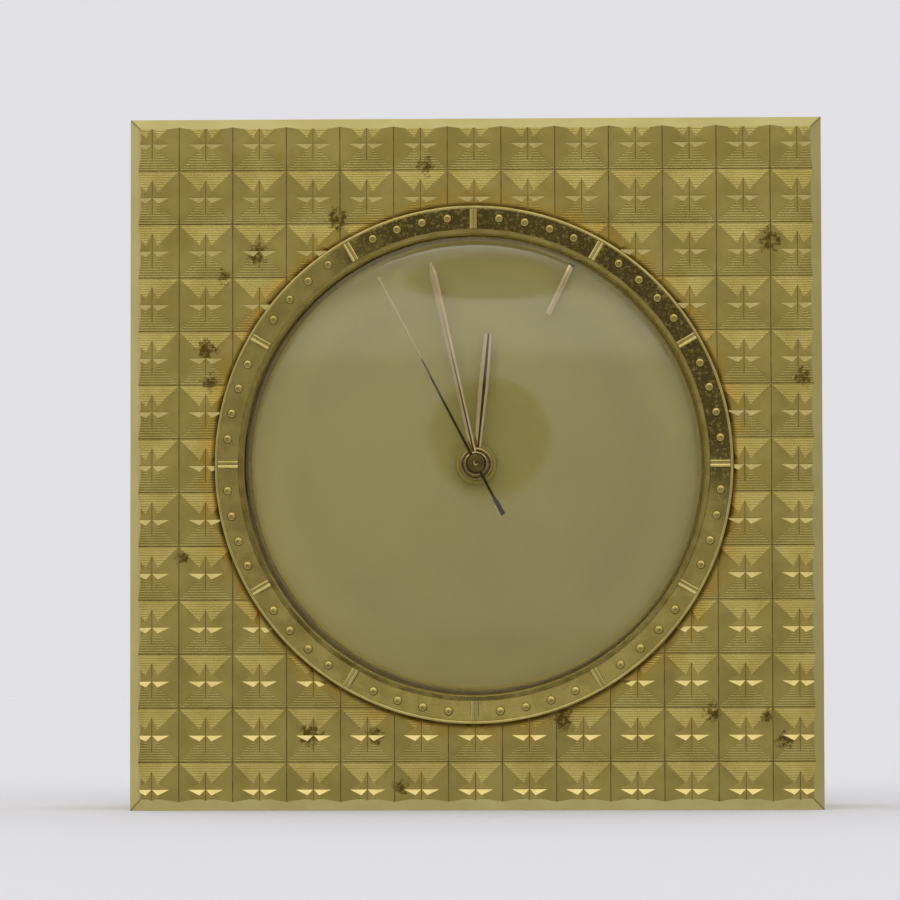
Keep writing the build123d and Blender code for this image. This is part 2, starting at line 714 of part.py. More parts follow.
def switch_leaf():
    """Springy strip from the board to the alarm switch."""
    foot_y = BOARD_Y + BOARD_H / 2 - 1.5
    foot = slab(3.0, 3.0, board_back - 0.3, board_back, (0, foot_y))
    tip = COVER_FRONT + 1.7
    riser = slab(3.0, 0.3, tip, board_back, (0, foot_y + 1.35))
    reach = SWITCH_Y - foot_y + 1.0
    return foot + riser + slab(3.0, reach, tip, tip + 0.3, (0, foot_y + 1.2 + reach / 2))


# Battery in its tray
tray_floor = MAIN_BACK - TRAY_WALL
cell_z = tray_floor - CELL_R
cell_x = NUB_L / 2


def battery_tray():
    low = MAIN_BACK - TRAY_DEPTH
    inside = slab(TRAY_W - 2 * TRAY_WALL, TRAY_H - 2 * TRAY_WALL, low, tray_floor, (0, CELL_Y))
    return slab(TRAY_W, TRAY_H, low, MAIN_BACK, (0, CELL_Y)) - inside


def battery():
    body = Cylinder(CELL_R, CELL_L) + Pos(0, 0, (CELL_L + NUB_L) / 2) * Cylinder(NUB_R, NUB_L)
    return Pos(-cell_x, CELL_Y, cell_z) * Rot(0, 90, 0) * body


contact_depth = TRAY_DEPTH - TRAY_WALL - 1.0
nub_end = CELL_L / 2 - cell_x + NUB_L
cup_end = -CELL_L / 2 - cell_x
tray_inside = TRAY_W / 2 - TRAY_WALL


def contact_strip(x):
    """Flat strip standing against an end wall of the tray."""
    return slab(0.4, 8.0, tray_floor - contact_depth, tray_floor, (x, CELL_Y))


def battery_contact():
    """Strip with a boss that the battery's nub presses on."""
    middle = ((nub_end + tray_inside) / 2, CELL_Y)
    boss = slab(tray_inside - nub_end, NUB_R, cell_z - NUB_R, cell_z + NUB_R, middle)
    return contact_strip(tray_inside - 0.2) + boss


def battery_spring():
    """Bowed leaf that pushes the battery against the other contact."""
    low = cell_z - 4.0
    high = cell_z + 4.0
    bow = [(-tray_inside, low), (cup_end, cell_z), (-tray_inside, high),
           (-tray_inside, high - 1.0), (cup_end - 0.6, cell_z), (-tray_inside, low + 1.0)]
    leaf = extrude(Plane.XZ * Polygon(*bow, align=None), amount=3.0, both=True)
    return contact_strip(-tray_inside + 0.2) + Pos(0, CELL_Y, 0) * leaf


def battery_door():
    """Cover over the battery opening with a plug that sits inside it."""
    lid_front = BAND_BACK - SEAT_GAP
    lid = slab(DOOR_W, DOOR_H, lid_front - DOOR_T, lid_front, (0, CELL_Y))
    plug = slab(opening_w - 2 * PLAY, opening_h - 2 * PLAY, lid_front, COVER_FRONT, (0, CELL_Y))
    grip = slab(14.0, 1.6, lid_front - DOOR_T - 0.8, lid_front - DOOR_T, (0, CELL_Y + DOOR_H / 2 - 3.0))
    return lid + plug + grip


def alarm_switch():
    """Sliding button through a slot, held by a flange inside the cover."""
    place = (0, SWITCH_Y)
    button_front = BAND_BACK - 0.15
    flange_back = COVER_FRONT + 0.15
    button = slab(6.0, 5.0, button_front - 2.0, button_front, place)
    neck = slab(SWITCH_NECK, SWITCH_NECK, button_front, flange_back, place)
    return button + neck + slab(9.0, 6.0, flange_back, flange_back + 1.0, place)


PARTS = {
    "embossed_panel": embossed_panel(),
    "front_plate": front_plate(),
    "case_band": case_band(),
    "corner_pillars": corner_pillars(),
    "movement_posts": movement_posts(),
    "back_cover": back_cover(),
    "cover_screws": group(cover_screws),
    "chapter_ring": chapter_ring(),
    "hour_bars": hour_bars(),
    "minute_beads": minute_beads(),
    "glass": glass(),
    "dial_spacer": dial_spacer(),
    "dial": dial(),
    "dial_pillars": dial_pillars(),
    "hour_hand": hour_hand(),
    "minute_hand": minute_hand(),
    "seconds_hand": seconds_hand(),
    "alarm_disc": alarm_disc(),
    "alarm_baton": alarm_baton(),
    "front_mainplate": front_mainplate(),
    "rear_mainplate": rear_mainplate(),
    "plate_pillars": plate_pillars(),
    "movement_nuts": group(movement_nuts),
    "centre_bush": centre_bush(),
    "minute_stud": minute_stud(),
    "seconds_wheel": seconds_wheel(),
    "third_wheel": third_wheel(),
    "centre_wheel": centre_wheel(),
    "middle_wheel": middle_wheel(),
    "rotor_arbor": rotor_arbor(),
    "rotor_magnet": rotor_magnet(),
    "cannon_pinion": cannon_pinion(),
    "minute_wheel": minute_wheel(),
    "hour_wheel": hour_wheel(),
    "alarm_wheel": alarm_wheel(),
    "setting_stem": setting_stem(),
    "setting_knob": knob(setting_place),
    "alarm_stem": alarm_stem(),
    "alarm_knob": knob(alarm_place),
    "motor_stator": motor_stator(),
    "coil_core": coil_core(),
    "motor_coil": motor_coil(),
    "circuit_board": circuit_board(),
    "quartz_crystal": quartz_crystal(),
    "chip": chip(),
    "sounder": sounder(),
    "switch_leaf": switch_leaf(),
    "battery_tray": battery_tray(),
    "battery": battery(),
    "battery_contact": battery_contact(),
    "battery_spring": battery_spring(),
    "battery_door": battery_door(),
    "alarm_switch": alarm_switch(),
}

# Stood upright: the middle of the band's bottom face at the origin, the dial facing -Y
upright = Plane(origin=(0, BAND_MIDDLE, CASE_SIDE / 2), x_dir=(1, 0, 0), z_dir=(0, -1, 0))
os.makedirs("parts", exist_ok=True)
for name, shape in PARTS.items():
    export_step(upright.location * shape, f"parts/{name}.step")
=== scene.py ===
import json
from math import cos, pi, radians, sin, sqrt, tan

import bmesh
import bpy
from mathutils import Matrix, Vector


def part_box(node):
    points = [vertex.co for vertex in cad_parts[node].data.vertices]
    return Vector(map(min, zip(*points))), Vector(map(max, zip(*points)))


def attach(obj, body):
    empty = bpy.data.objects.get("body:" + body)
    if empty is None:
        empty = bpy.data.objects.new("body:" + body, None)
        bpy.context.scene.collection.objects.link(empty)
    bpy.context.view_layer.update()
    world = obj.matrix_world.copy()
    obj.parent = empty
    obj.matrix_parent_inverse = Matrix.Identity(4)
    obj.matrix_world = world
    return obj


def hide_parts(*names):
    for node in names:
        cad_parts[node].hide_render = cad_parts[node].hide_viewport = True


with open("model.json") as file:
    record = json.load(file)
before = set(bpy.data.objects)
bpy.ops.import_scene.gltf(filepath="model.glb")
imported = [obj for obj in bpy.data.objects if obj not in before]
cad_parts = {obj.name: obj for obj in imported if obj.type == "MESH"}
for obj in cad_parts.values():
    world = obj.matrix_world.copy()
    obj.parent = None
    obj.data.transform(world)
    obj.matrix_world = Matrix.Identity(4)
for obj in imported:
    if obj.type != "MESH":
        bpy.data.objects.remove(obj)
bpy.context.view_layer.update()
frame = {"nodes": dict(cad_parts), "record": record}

scene = bpy.context.scene

# Pieces are drawn in the dial's own frame, in millimetres: x right, y up, z towards the viewer,
# with z = 0 at the bottom of the panel's grooves. The frame's boxes say where that is.
MM = 0.001
PANEL_T = 0.6
plate_low, plate_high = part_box("front_plate")
ring_low, ring_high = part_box("chapter_ring")
CASE_SIDE = (plate_high.x - plate_low.x) / MM
# The photograph shows the ring a touch smaller than the solid's, and a little left of and below the middle
RING_SHARE = 0.9935
RING_R = RING_SHARE * (ring_high.x - ring_low.x) / 2 / MM
RING_MIDDLE = (-0.25, -0.25, 0.0)
GROOVE_Y = ring_high.y
CENTRE_Z = (ring_low.z + ring_high.z) / 2
dial_frame = Matrix.Translation((0, GROOVE_Y, CENTRE_Z)) @ Matrix.Rotation(pi / 2, 4, "X")
dial_frame = dial_frame @ Matrix.Scale(MM, 4)


def level(row_y):
    """Height in the dial's frame of a place along the row's y axis."""
    return (GROOVE_Y - row_y) / MM


def place_of(node):
    """Middle of a CAD node in the dial's frame."""
    low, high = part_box(node)
    return (low.x + high.x) / 2 / MM, ((low.z + high.z) / 2 - CENTRE_Z) / MM


# Materials: short helpers round the node tree
class Nodes:
    def __init__(self, tree):
        self.tree = tree
        tree.nodes.clear()

    def add(self, kind, settings=None, **inputs):
        node = self.tree.nodes.new("ShaderNode" + kind)
        for key, value in (settings or {}).items():
            setattr(node, key, value)
        for key, value in inputs.items():
            self.feed(node.inputs[key.replace("_", " ")], value)
        return node

    def feed(self, socket, value):
        if isinstance(value, bpy.types.NodeSocket):
            self.tree.links.new(value, socket)
        else:
            socket.default_value = value

    def math(self, operation, a, b=0.0, c=0.0):
        node = self.add("Math", {"operation": operation})
        for socket, value in zip(node.inputs, (a, b, c)):
            self.feed(socket, value)
        return node.outputs[0]

    def mix(self, share, a, b):
        node = self.add("Mix", {"data_type": "RGBA"})
        for index, value in ((0, share), (6, a), (7, b)):
            self.feed(node.inputs[index], value)
        return node.outputs[2]

    def blend(self, value, low, high, start=0.0, end=1.0):
        """Smooth change from start to end as a value goes from low to high."""
        node = self.add("MapRange", {"interpolation_type": "SMOOTHSTEP"}, Value=value)
        for name, number in (("From Min", low), ("From Max", high), ("To Min", start), ("To Max", end)):
            self.feed(node.inputs[name], number)
        return node.outputs["Result"]

    def millimetres(self, stretch=(1, 1, 1)):
        """Place on the object in millimetres."""
        where = self.add("TexCoord").outputs["Object"]
        scale = tuple(s / MM for s in stretch)
        return self.add("Mapping", Vector=where, Scale=scale).outputs["Vector"]

    def noise(self, size, detail=3.0, stretch=(1, 1, 1), rough=0.5):
        """Noise with blotches of about a size in millimetres."""
        where = self.millimetres(stretch)
        node = self.add("TexNoise", Vector=where, Scale=1 / size, Detail=detail, Roughness=rough)
        return node.outputs["Fac"]

    def bump(self, height, depth):
        """Small relief, its depth in millimetres."""
        return self.add("Bump", Height=height, Strength=1.0, Distance=depth * MM).outputs["Normal"]

    def from_axis(self):
        """Distance from the ring's middle and bearing round it, in millimetres and radians."""
        parts = self.add("SeparateXYZ", Vector=self.millimetres())
        up = self.math("SUBTRACT", parts.outputs["Z"], CENTRE_Z / MM + RING_MIDDLE[1])
        across = self.math("SUBTRACT", parts.outputs["X"], RING_MIDDLE[0])
        distance = self.math("SQRT", self.math("ADD", self.math("MULTIPLY", up, up),
                                               self.math("MULTIPLY", across, across)))
        return distance, self.math("ARCTAN2", across, up)


def material(name):
    made = bpy.data.materials.new(name)
    made.use_nodes = True
    nodes = Nodes(made.node_tree)
    shader = nodes.add("BsdfPrincipled")
    output = nodes.add("OutputMaterial")
    nodes.tree.links.new(shader.outputs["BSDF"], output.inputs["Surface"])
    return made, nodes, shader


def gilt(name, light, dark, roughness, patch=6.0, grain=0.03, grain_stretch=(1, 1, 1), tarnish_and_ring_shade=0.0, spots=0.0,
         painted_shade_arc=False, mitre=0.0):
    """Aged gilding: two tones in soft patches, a fine grain, and tarnish where asked; with the tarnish comes
    painted shade against the ring's edge, and where asked painted shade on an arc of the ring's floor.
    """
    made, nodes, shader = material(name)
    patches = nodes.blend(nodes.noise(patch, 5.0, rough=0.6), 0.35, 0.65)
    colour = nodes.mix(patches, (*dark, 1), (*light, 1))
    gloss = nodes.blend(nodes.noise(patch * 0.6, 4.0), 0.3, 0.7, roughness * 0.85, roughness * 1.2)
    if tarnish_and_ring_shade:
        distance, bearing = nodes.from_axis()
        wander = nodes.math("MULTIPLY", nodes.noise(3.0, 6.0, rough=0.65), 9.0)
        reach = nodes.math("ADD", distance, wander)
        stained = nodes.math("MULTIPLY", nodes.blend(reach, RING_R + 3.0, RING_R + 8.5, 1.0, 0.0), tarnish_and_ring_shade)
        colour = nodes.mix(stained, colour, (*STAIN, 1))
        # Painted shade: a dark brown rim on the panel right against the ring's outer edge, for the shade in
        # the gap there
        colour = nodes.mix(nodes.blend(distance, RING_R + 0.2, RING_R + 0.9, 0.9, 0.0), colour, (*RUST_AND_SHADE, 1))
    if spots:
        stain = 0.0
        for x, y, radius in STAIN_PLACES:
            away = nodes.add("VectorMath", {"operation": "DISTANCE"})
            nodes.feed(away.inputs[0], nodes.millimetres())
            away.inputs[1].default_value = (x, (GROOVE_Y / MM) - 0.5, CENTRE_Z / MM + y)
            near = nodes.blend(away.outputs["Value"], 0.2 * radius, 1.3 * radius, 1.0, 0.0)
            stain = nodes.math("MAXIMUM", near, stain)
        flecks = nodes.math("ADD", nodes.noise(0.8, 5.0, rough=0.75), nodes.math("MULTIPLY", stain, 0.24))
        speck = nodes.math("MULTIPLY", nodes.blend(flecks, 0.58, 0.76), nodes.blend(stain, 0.02, 0.2))
        colour = nodes.mix(nodes.math("MULTIPLY", speck, spots), colour, (*RUST_AND_SHADE, 1))
    if painted_shade_arc:
        # Painted shade over an arc of the ring's floor, broken into blotches
        distance, bearing = nodes.from_axis()
        ragged = nodes.math("ADD", bearing, nodes.math("MULTIPLY", nodes.noise(4.0, 3.0), 0.5))
        arc = nodes.math("MULTIPLY", nodes.blend(ragged, ARC_START, ARC_START + 0.3),
                         nodes.blend(ragged, ARC_END - 0.3, ARC_END, 1.0, 0.0))
        shade_mottling = nodes.blend(nodes.noise(0.55, 6.0, rough=0.75), 0.52, 0.60, 1.0, 0.25)
        painted_arc_shade = nodes.math("MULTIPLY", nodes.math("MULTIPLY", arc, shade_mottling), 0.85)
        colour = nodes.mix(painted_arc_shade, colour, (*SOOT_AND_SHADE, 1))
    if mitre:
        place = nodes.add("SeparateXYZ", Vector=nodes.millimetres())
        across = nodes.math("ABSOLUTE", place.outputs["X"])
        up = nodes.math("ABSOLUTE", nodes.math("SUBTRACT", place.outputs["Z"], CENTRE_Z / MM))
        off = nodes.math("ABSOLUTE", nodes.math("SUBTRACT", across, up))
        colour = nodes.mix(nodes.blend(off, 0.05, 0.30, mitre, 0.0), colour, (*SOOT_AND_SHADE, 1))
    nodes.feed(shader.inputs["Base Color"], colour)
    shader.inputs["Metallic"].default_value = 1.0
    nodes.feed(shader.inputs["Roughness"], gloss)
    fine = nodes.noise(0.12, 3.0, grain_stretch)
    nodes.feed(shader.inputs["Normal"], nodes.bump(fine, grain * 0.2))
    return made


def metal(name, light, dark, roughness, patch=3.0, grain=0.25, stretch=(1, 1, 1)):
    """Plain worked metal with brushing and a little change of tone."""
    made, nodes, shader = material(name)
    tone = nodes.blend(nodes.noise(patch, 4.0), 0.3, 0.7)
    nodes.feed(shader.inputs["Base Color"], nodes.mix(tone, (*dark, 1), (*light, 1)))
    shader.inputs["Metallic"].default_value = 1.0
    brushed = nodes.noise(grain, 4.0, stretch)
    nodes.feed(shader.inputs["Roughness"], nodes.blend(brushed, 0.3, 0.7, roughness * 0.8, roughness * 1.25))
    nodes.feed(shader.inputs["Normal"], nodes.bump(brushed, 0.004))
    return made


def plastic(name, light, dark, roughness, grain=0.2, depth=0.006, patch=8.0):
    """Moulded plastic with a fine surface grain."""
    made, nodes, shader = material(name)
    tone = nodes.blend(nodes.noise(patch, 3.0), 0.3, 0.7)
    nodes.feed(shader.inputs["Base Color"], nodes.mix(tone, (*dark, 1), (*light, 1)))
    pits = nodes.noise(grain, 2.0)
    nodes.feed(shader.inputs["Roughness"], nodes.blend(pits, 0.3, 0.7, roughness * 0.9, roughness * 1.1))
    nodes.feed(shader.inputs["Normal"], nodes.bump(pits, depth))
    return made


def clear(name, tint, index, smear):
    """Clear sheet with the faintest smears on it."""
    made, nodes, shader = material(name)
    marks = nodes.blend(nodes.noise(5.0, 5.0, rough=0.6), 0.45, 0.7, 0.0, smear)
    nodes.feed(shader.inputs["Roughness"], marks)
    nodes.feed(shader.inputs["Base Color"], nodes.mix(nodes.noise(12.0), (*tint, 1), (1, 1, 1, 1)))
    shader.inputs["Transmission Weight"].default_value = 1.0
    shader.inputs["IOR"].default_value = index
    return made


def film(name, light, dark, cover):
    """Thin clear sheet that hardly shows but for a little haze."""
    made, nodes, shader = material(name)
    nodes.feed(shader.inputs["Base Color"], nodes.mix(nodes.noise(10.0), (*dark, 1), (*light, 1)))
    shader.inputs["Roughness"].default_value = 0.15
    shader.inputs["Alpha"].default_value = cover
    return made


def dial_paint():
    """Satin champagne lacquer over metal, finely sanded, with painted light: lighter towards its edge, where
    the ring shades it, and a little lighter towards the top and the left.
    """
    made, nodes, shader = material("dial_champagne")
    tone = nodes.blend(nodes.noise(14.0, 5.0, rough=0.6), 0.35, 0.65)
    colour = nodes.mix(tone, (0.622, 0.530, 0.130, 1), (0.662, 0.565, 0.142, 1))
    place = nodes.add("SeparateXYZ", Vector=nodes.millimetres())
    above = nodes.math("SUBTRACT", place.outputs["Z"], CENTRE_Z / MM)
    distance, bearing = nodes.from_axis()
    # Painted light: the dial grows lighter towards its edge, by about a quarter at the bottom and up to a
    # half at the top
    edge_light_rise = nodes.math("MULTIPLY_ADD", above, 0.011, 1.0)
    edge = nodes.math("MULTIPLY", nodes.blend(distance, DIAL_EVEN_R, DIAL_EDGE_R, 0.0, 0.36), edge_light_rise)
    # Painted light: the whole dial a little lighter towards the top and towards the left
    painted_light = nodes.math("MULTIPLY_ADD", above, 0.0006, nodes.math("ADD", edge, 1.0))
    painted_light = nodes.math("MULTIPLY_ADD", place.outputs["X"], -0.0018, painted_light)
    painted_light_colour = nodes.add("VectorMath", {"operation": "SCALE"}, Vector=colour, Scale=painted_light)
    nodes.feed(shader.inputs["Base Color"], painted_light_colour.outputs["Vector"])
    shader.inputs["Metallic"].default_value = 0.8
    sanded = nodes.noise(0.4, 4.0, (1, 1, 0.2))
    nodes.feed(shader.inputs["Roughness"], nodes.blend(sanded, 0.3, 0.7, 0.46, 0.54))
    nodes.feed(shader.inputs["Normal"], nodes.bump(sanded, 0.001))
    return made


# Painted light on the dial, for the ring's shade: none out to the first radius, most at the second
DIAL_EVEN_R = 25.0
DIAL_EDGE_R = 33.5
# Orange-brown tarnish round the ring; a dark brown for rust stains that also paints shade against the ring's
# edge; a near-black for the dark mitre lines that also paints shade on an arc of the ring's floor
STAIN = (0.480, 0.300, 0.050)
RUST_AND_SHADE = (0.110, 0.062, 0.008)
SOOT_AND_SHADE = (0.080, 0.054, 0.017)
# Dark stains on the front: millimetres right of and above the middle of the dial, and radius
STAIN_PLACES = [
    (43.7, 33.0, 2.2), (-39.5, 12.0, 1.7), (-40.0, 17.1, 1.9), (-37.4, 27.8, 1.4), (-32.5, 31.2, 1.9),
    (-7.3, 44.2, 1.7), (-20.4, 36.4, 2.2), (48.6, 12.6, 1.7), (-43.8, -13.9, 1.4), (-11.3, -48.0, 1.4),
    (45.6, -41.3, 1.7),
    (34.9, -37.0, 1.7), (-24.4, -40.3, 2.0), (-15.0, -40.3, 1.8), (12.8, -38.0, 2.3), (43.0, -37.5, 1.3),
]
# Bearings between which painted shade darkens the ring's floor, in radians clockwise from the top
ARC_START = -0.45
ARC_END = 2.05

# Linear colours, the lighter and the darker tone of each paint, and its roughness
paints = {
    "gilt_front": gilt("gilt_front", (0.464, 0.375, 0.117), (0.384, 0.300, 0.083), 0.30, grain=0.0,
                       tarnish_and_ring_shade=0.75, spots=0.92),
    "gilt_case": gilt("gilt_case", (0.500, 0.405, 0.125), (0.462, 0.368, 0.108), 0.27, patch=25.0, grain=0.02,
                      grain_stretch=(1, 0.05, 1)),
    "gilt_ring": gilt("gilt_ring", (0.540, 0.430, 0.140), (0.440, 0.340, 0.095), 0.22, patch=3.0),
    # Gilt of the lip and the hour bars: shinier than gilt_ring, and painted paler as a highlight
    "gilt_studs": gilt("gilt_studs", (0.570, 0.465, 0.170), (0.490, 0.385, 0.120), 0.17, patch=2.0,
                       grain=0.0),
    "gilt_beads": gilt("gilt_beads", (0.500, 0.400, 0.125), (0.420, 0.330, 0.100), 0.24, patch=2.0,
                       grain=0.0),
    "gilt_hands": gilt("gilt_hands", (0.72, 0.57, 0.30), (0.64, 0.50, 0.24), 0.07, patch=4.0, grain=0.01),
    "dial_champagne": dial_paint(),
    "spacer_dark": metal("spacer_dark", (0.40, 0.295, 0.100), (0.31, 0.225, 0.070), 0.38,
                         stretch=(1, 0.1, 1)),
    "clear_glass": clear("clear_glass", (0.985, 0.99, 0.985), 1.5, 0.02),
    "clear_plastic": film("clear_plastic", (0.80, 0.78, 0.70), (0.86, 0.85, 0.80), 0.04),
    "turned_brass": metal("turned_brass", (0.52, 0.38, 0.12), (0.44, 0.31, 0.09), 0.28, stretch=(1, 0.1, 1)),
    "plate_brass": metal("plate_brass", (0.54, 0.41, 0.15), (0.46, 0.34, 0.11), 0.32, stretch=(0.08, 1, 1)),
    "wheel_brass": metal("wheel_brass", (0.56, 0.42, 0.13), (0.48, 0.35, 0.10), 0.26),
    "wheel_plastic": plastic("wheel_plastic", (0.72, 0.70, 0.62), (0.66, 0.64, 0.55), 0.45),
    "arbor_steel": metal("arbor_steel", (0.42, 0.42, 0.43), (0.34, 0.34, 0.35), 0.22, stretch=(1, 0.1, 1)),
    "screw_steel": metal("screw_steel", (0.50, 0.42, 0.24), (0.42, 0.34, 0.17), 0.30),
    "magnet_dark": metal("magnet_dark", (0.05, 0.05, 0.055), (0.03, 0.03, 0.033), 0.5),
    "stator_iron": metal("stator_iron", (0.30, 0.30, 0.31), (0.24, 0.24, 0.25), 0.4, stretch=(1, 1, 0.1)),
    "coil_copper": metal("coil_copper", (0.42, 0.13, 0.05), (0.33, 0.09, 0.03), 0.35, grain=0.15,
                         stretch=(0.1, 0.1, 1)),
    "board_green": plastic("board_green", (0.012, 0.10, 0.04), (0.008, 0.07, 0.03), 0.3),
    "can_metal": metal("can_metal", (0.56, 0.56, 0.57), (0.48, 0.48, 0.49), 0.25),
    "chip_black": plastic("chip_black", (0.010, 0.010, 0.011), (0.006, 0.006, 0.007), 0.5),
    "sounder_black": plastic("sounder_black", (0.012, 0.012, 0.012), (0.007, 0.007, 0.007), 0.5),
    "contact_metal": metal("contact_metal", (0.52, 0.51, 0.48), (0.44, 0.43, 0.40), 0.25,
                           stretch=(1, 0.1, 1)),
    "tray_plastic": plastic("tray_plastic", (0.016, 0.016, 0.016), (0.010, 0.010, 0.010), 0.5),
    "battery_jacket": plastic("battery_jacket", (0.018, 0.030, 0.055), (0.012, 0.021, 0.040), 0.25,
                              depth=0.001),
    "black_plastic": plastic("black_plastic", (0.016, 0.015, 0.014), (0.009, 0.009, 0.008), 0.42),
}
polished = gilt("gilt_polished", (0.400, 0.327, 0.128), (0.350, 0.280, 0.104), 0.14, patch=2.0, grain=0.0)
edge_gilt = gilt("gilt_edge", (0.520, 0.443, 0.183), (0.472, 0.395, 0.150), 0.20, patch=9.0, spots=0.8,
                 mitre=0.6)
# Gilt of the pyramids' left and right facets: rougher than gilt_front, and painted lighter for the light
# those facets catch
lightened_side_gilt = gilt("gilt_side_lightened", (0.480, 0.378, 0.110), (0.405, 0.310, 0.084), 0.34, grain=0.0, tarnish_and_ring_shade=0.75,
                 spots=0.92)
shaded_arc_floor = gilt("gilt_shaded_arc", (0.46, 0.365, 0.110), (0.37, 0.285, 0.080), 0.28, patch=3.0, painted_shade_arc=True)
hub_gilt = gilt("gilt_hub", (0.620, 0.480, 0.230), (0.480, 0.360, 0.150), 0.30, patch=0.8, grain=0.0)
groove_and_shade_gilt = gilt("gilt_groove_and_shade", (0.26, 0.19, 0.055), (0.16, 0.11, 0.03), 0.45, patch=2.0)

for subpart in frame["record"]["subparts"]:
    node = frame["nodes"][subpart["node"]]
    paint = edge_gilt if subpart["node"] == "front_plate" else paints[subpart["material_slot"]]
    node.data.materials.clear()
    node.data.materials.append(paint)


# Mesh helpers: everything is drawn in the dial's frame
def piece(name, bm, body, slot, replaced, extra=(), sharp=30.0, paint=None):
    """Turns a mesh into a piece of the object that rides on a body and stands for CAD nodes."""
    bmesh.ops.recalc_face_normals(bm, faces=bm.faces)
    for face in bm.faces:
        face.smooth = True
    for edge in bm.edges:
        edge.smooth = len(edge.link_faces) == 2 and edge.calc_face_angle(0.0) < radians(sharp)
    bm.transform(dial_frame)
    mesh = bpy.data.meshes.new(name)
    bm.to_mesh(mesh)
    bm.free()
    made = bpy.data.objects.new(name, mesh)
    scene.collection.objects.link(made)
    for each in (paints[paint or slot], *extra):
        mesh.materials.append(each)
    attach(made, body)
    if replaced:
        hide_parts(*replaced)
    return made


def strip(bm, loops, close=True):
    """Joins loops of equal length with quads; the last loop joins the first where the form closes."""
    rows = [[bm.verts.new(point) for point in loop] for loop in loops]
    pairs = list(zip(rows, rows[1:]))
    if close:
        pairs.append((rows[-1], rows[0]))
    for one, other in pairs:
        for k in range(len(one)):
            following = (k + 1) % len(one)
            bm.faces.new((one[k], one[following], other[following], other[k]))
    return rows


def capped(bm, loops):
    """Closed form from a stack of loops with a flat face at each end."""
    rows = strip(bm, loops, close=False)
    bm.faces.new(rows[0])
    bm.faces.new(rows[-1])
    return rows


def circle(radius, z, count=192, centre=(0, 0)):
    return [(centre[0] + radius * cos(2 * pi * k / count), centre[1] + radius * sin(2 * pi * k / count), z)
            for k in range(count)]


def square(half, z, count):
    """Square loop with the same number of points as a circle, so that the two can be joined."""
    points = []
    for k in range(count):
        turn = 2 * pi * k / count
        reach = half / max(abs(cos(turn)), abs(sin(turn)))
        points.append((reach * cos(turn), reach * sin(turn), z))
    return points


def oblong(half_x, half_y, z, centre=(0, 0)):
    """Rectangular loop about a centre."""
    x, y = centre
    return [(x - half_x, y - half_y, z), (x + half_x, y - half_y, z), (x + half_x, y + half_y, z),
            (x - half_x, y + half_y, z)]


def turned(bm, outline, count=192):
    """Ring turned about the dial's axis from a closed (radius, height) outline."""
    strip(bm, [circle(radius, z, count) for radius, z in outline])


def turn_all(bm, angle):
    """Turns a mesh clockwise about the dial's axis."""
    bmesh.ops.rotate(bm, verts=bm.verts, cent=(0, 0, 0), matrix=Matrix.Rotation(-radians(angle), 3, "Z"))


def copies(bm, matrices):
    """Repeats what a mesh holds at several places, in place of the first."""
    pattern = bpy.data.meshes.new("pattern")
    bm.to_mesh(pattern)
    bm.clear()
    for matrix in matrices:
        first = len(bm.verts)
        bm.from_mesh(pattern)
        bm.verts.ensure_lookup_table()
        bmesh.ops.transform(bm, matrix=matrix, verts=bm.verts[first:])
    bpy.data.meshes.remove(pattern)


front_paints = (paints["gilt_front"], polished, groove_and_shade_gilt, edge_gilt, lightened_side_gilt)


def carve(target, tool, operation="DIFFERENCE"):
    """Boolean of two meshes; face material numbers are kept."""
    objects = []
    for bm in (target, tool):
        mesh = bpy.data.meshes.new("carve")
        bm.to_mesh(mesh)
        made = bpy.data.objects.new("carve", mesh)
        scene.collection.objects.link(made)
        for paint in front_paints:
            mesh.materials.append(paint)
        objects.append(made)
    cut = objects[0].modifiers.new("cut", "BOOLEAN")
    cut.operation = operation
    cut.solver = "EXACT"
    cut.object = objects[1]
    result = bpy.data.meshes.new_from_object(objects[0].evaluated_get(bpy.context.evaluated_depsgraph_get()))
    target.clear()
    target.from_mesh(result)
    for made in objects:
        bpy.data.objects.remove(made)


# Embossed panel
CELL = 8.0
GROOVE = 0.16
RELIEF = 0.85
PYRAMID_TOP = 0.25
SHIFT = Vector((-0.13, -0.31, 0))
BEVEL = 1.3
BEVEL_HALF = CASE_SIDE / 2 - BEVEL
CUT_LEAN = 0.75
SEAT_R = RING_R + 0.15
HOLE_R = RING_R - 3.6
LINE_PITCH = 0.36
LINE_W = 0.15
LINE_DEPTH = 0.036
CELL_FOOT = -0.05
STAR_REACH = 2.6
STAR_NOTCH = 0.87
STAR_KEEL = 0.05
STAR_TOOL_HALF = 2.0
FURROW_END = 0.8
half_cell = (CELL - GROOVE) / 2
slope = RELIEF / (half_cell - PYRAMID_TOP)


def cell_height(offset):
    return RELIEF - slope * (offset - PYRAMID_TOP)


def faded_square(offset, z):
    """Square loop whose furrows run out near the ends of the left and right sides."""
    side = cell_height(offset) if offset < half_cell else z
    end = FURROW_END * offset
    return [(-offset, -offset, z), (offset, -offset, z), (offset, -end, side), (offset, end, side),
            (offset, offset, z), (-offset, offset, z), (-offset, end, side), (-offset, -end, side)]


def star_cut(bm, turn):
    """Straight V-shaped cut with a level bottom; two of them cross as a four-pointed star."""
    bottom = cell_height(STAR_REACH)
    wall_slope = (cell_height(0) - bottom) / STAR_NOTCH - slope
    tool = bmesh.new()
    top = bottom + wall_slope * STAR_TOOL_HALF
    section = [(-STAR_KEEL, bottom), (STAR_KEEL, bottom), (STAR_TOOL_HALF, top), (-STAR_TOOL_HALF, top)]
    capped(tool, [[(x, y, z) for y, z in section] for x in (-half_cell, half_cell)])
    bmesh.ops.rotate(tool, verts=tool.verts, cent=(0, 0, 0), matrix=Matrix.Rotation(turn, 3, "Z"))
    bmesh.ops.recalc_face_normals(tool, faces=tool.faces)
    for face in tool.faces:
        face.material_index = 1
    carve(bm, tool)
    tool.free()


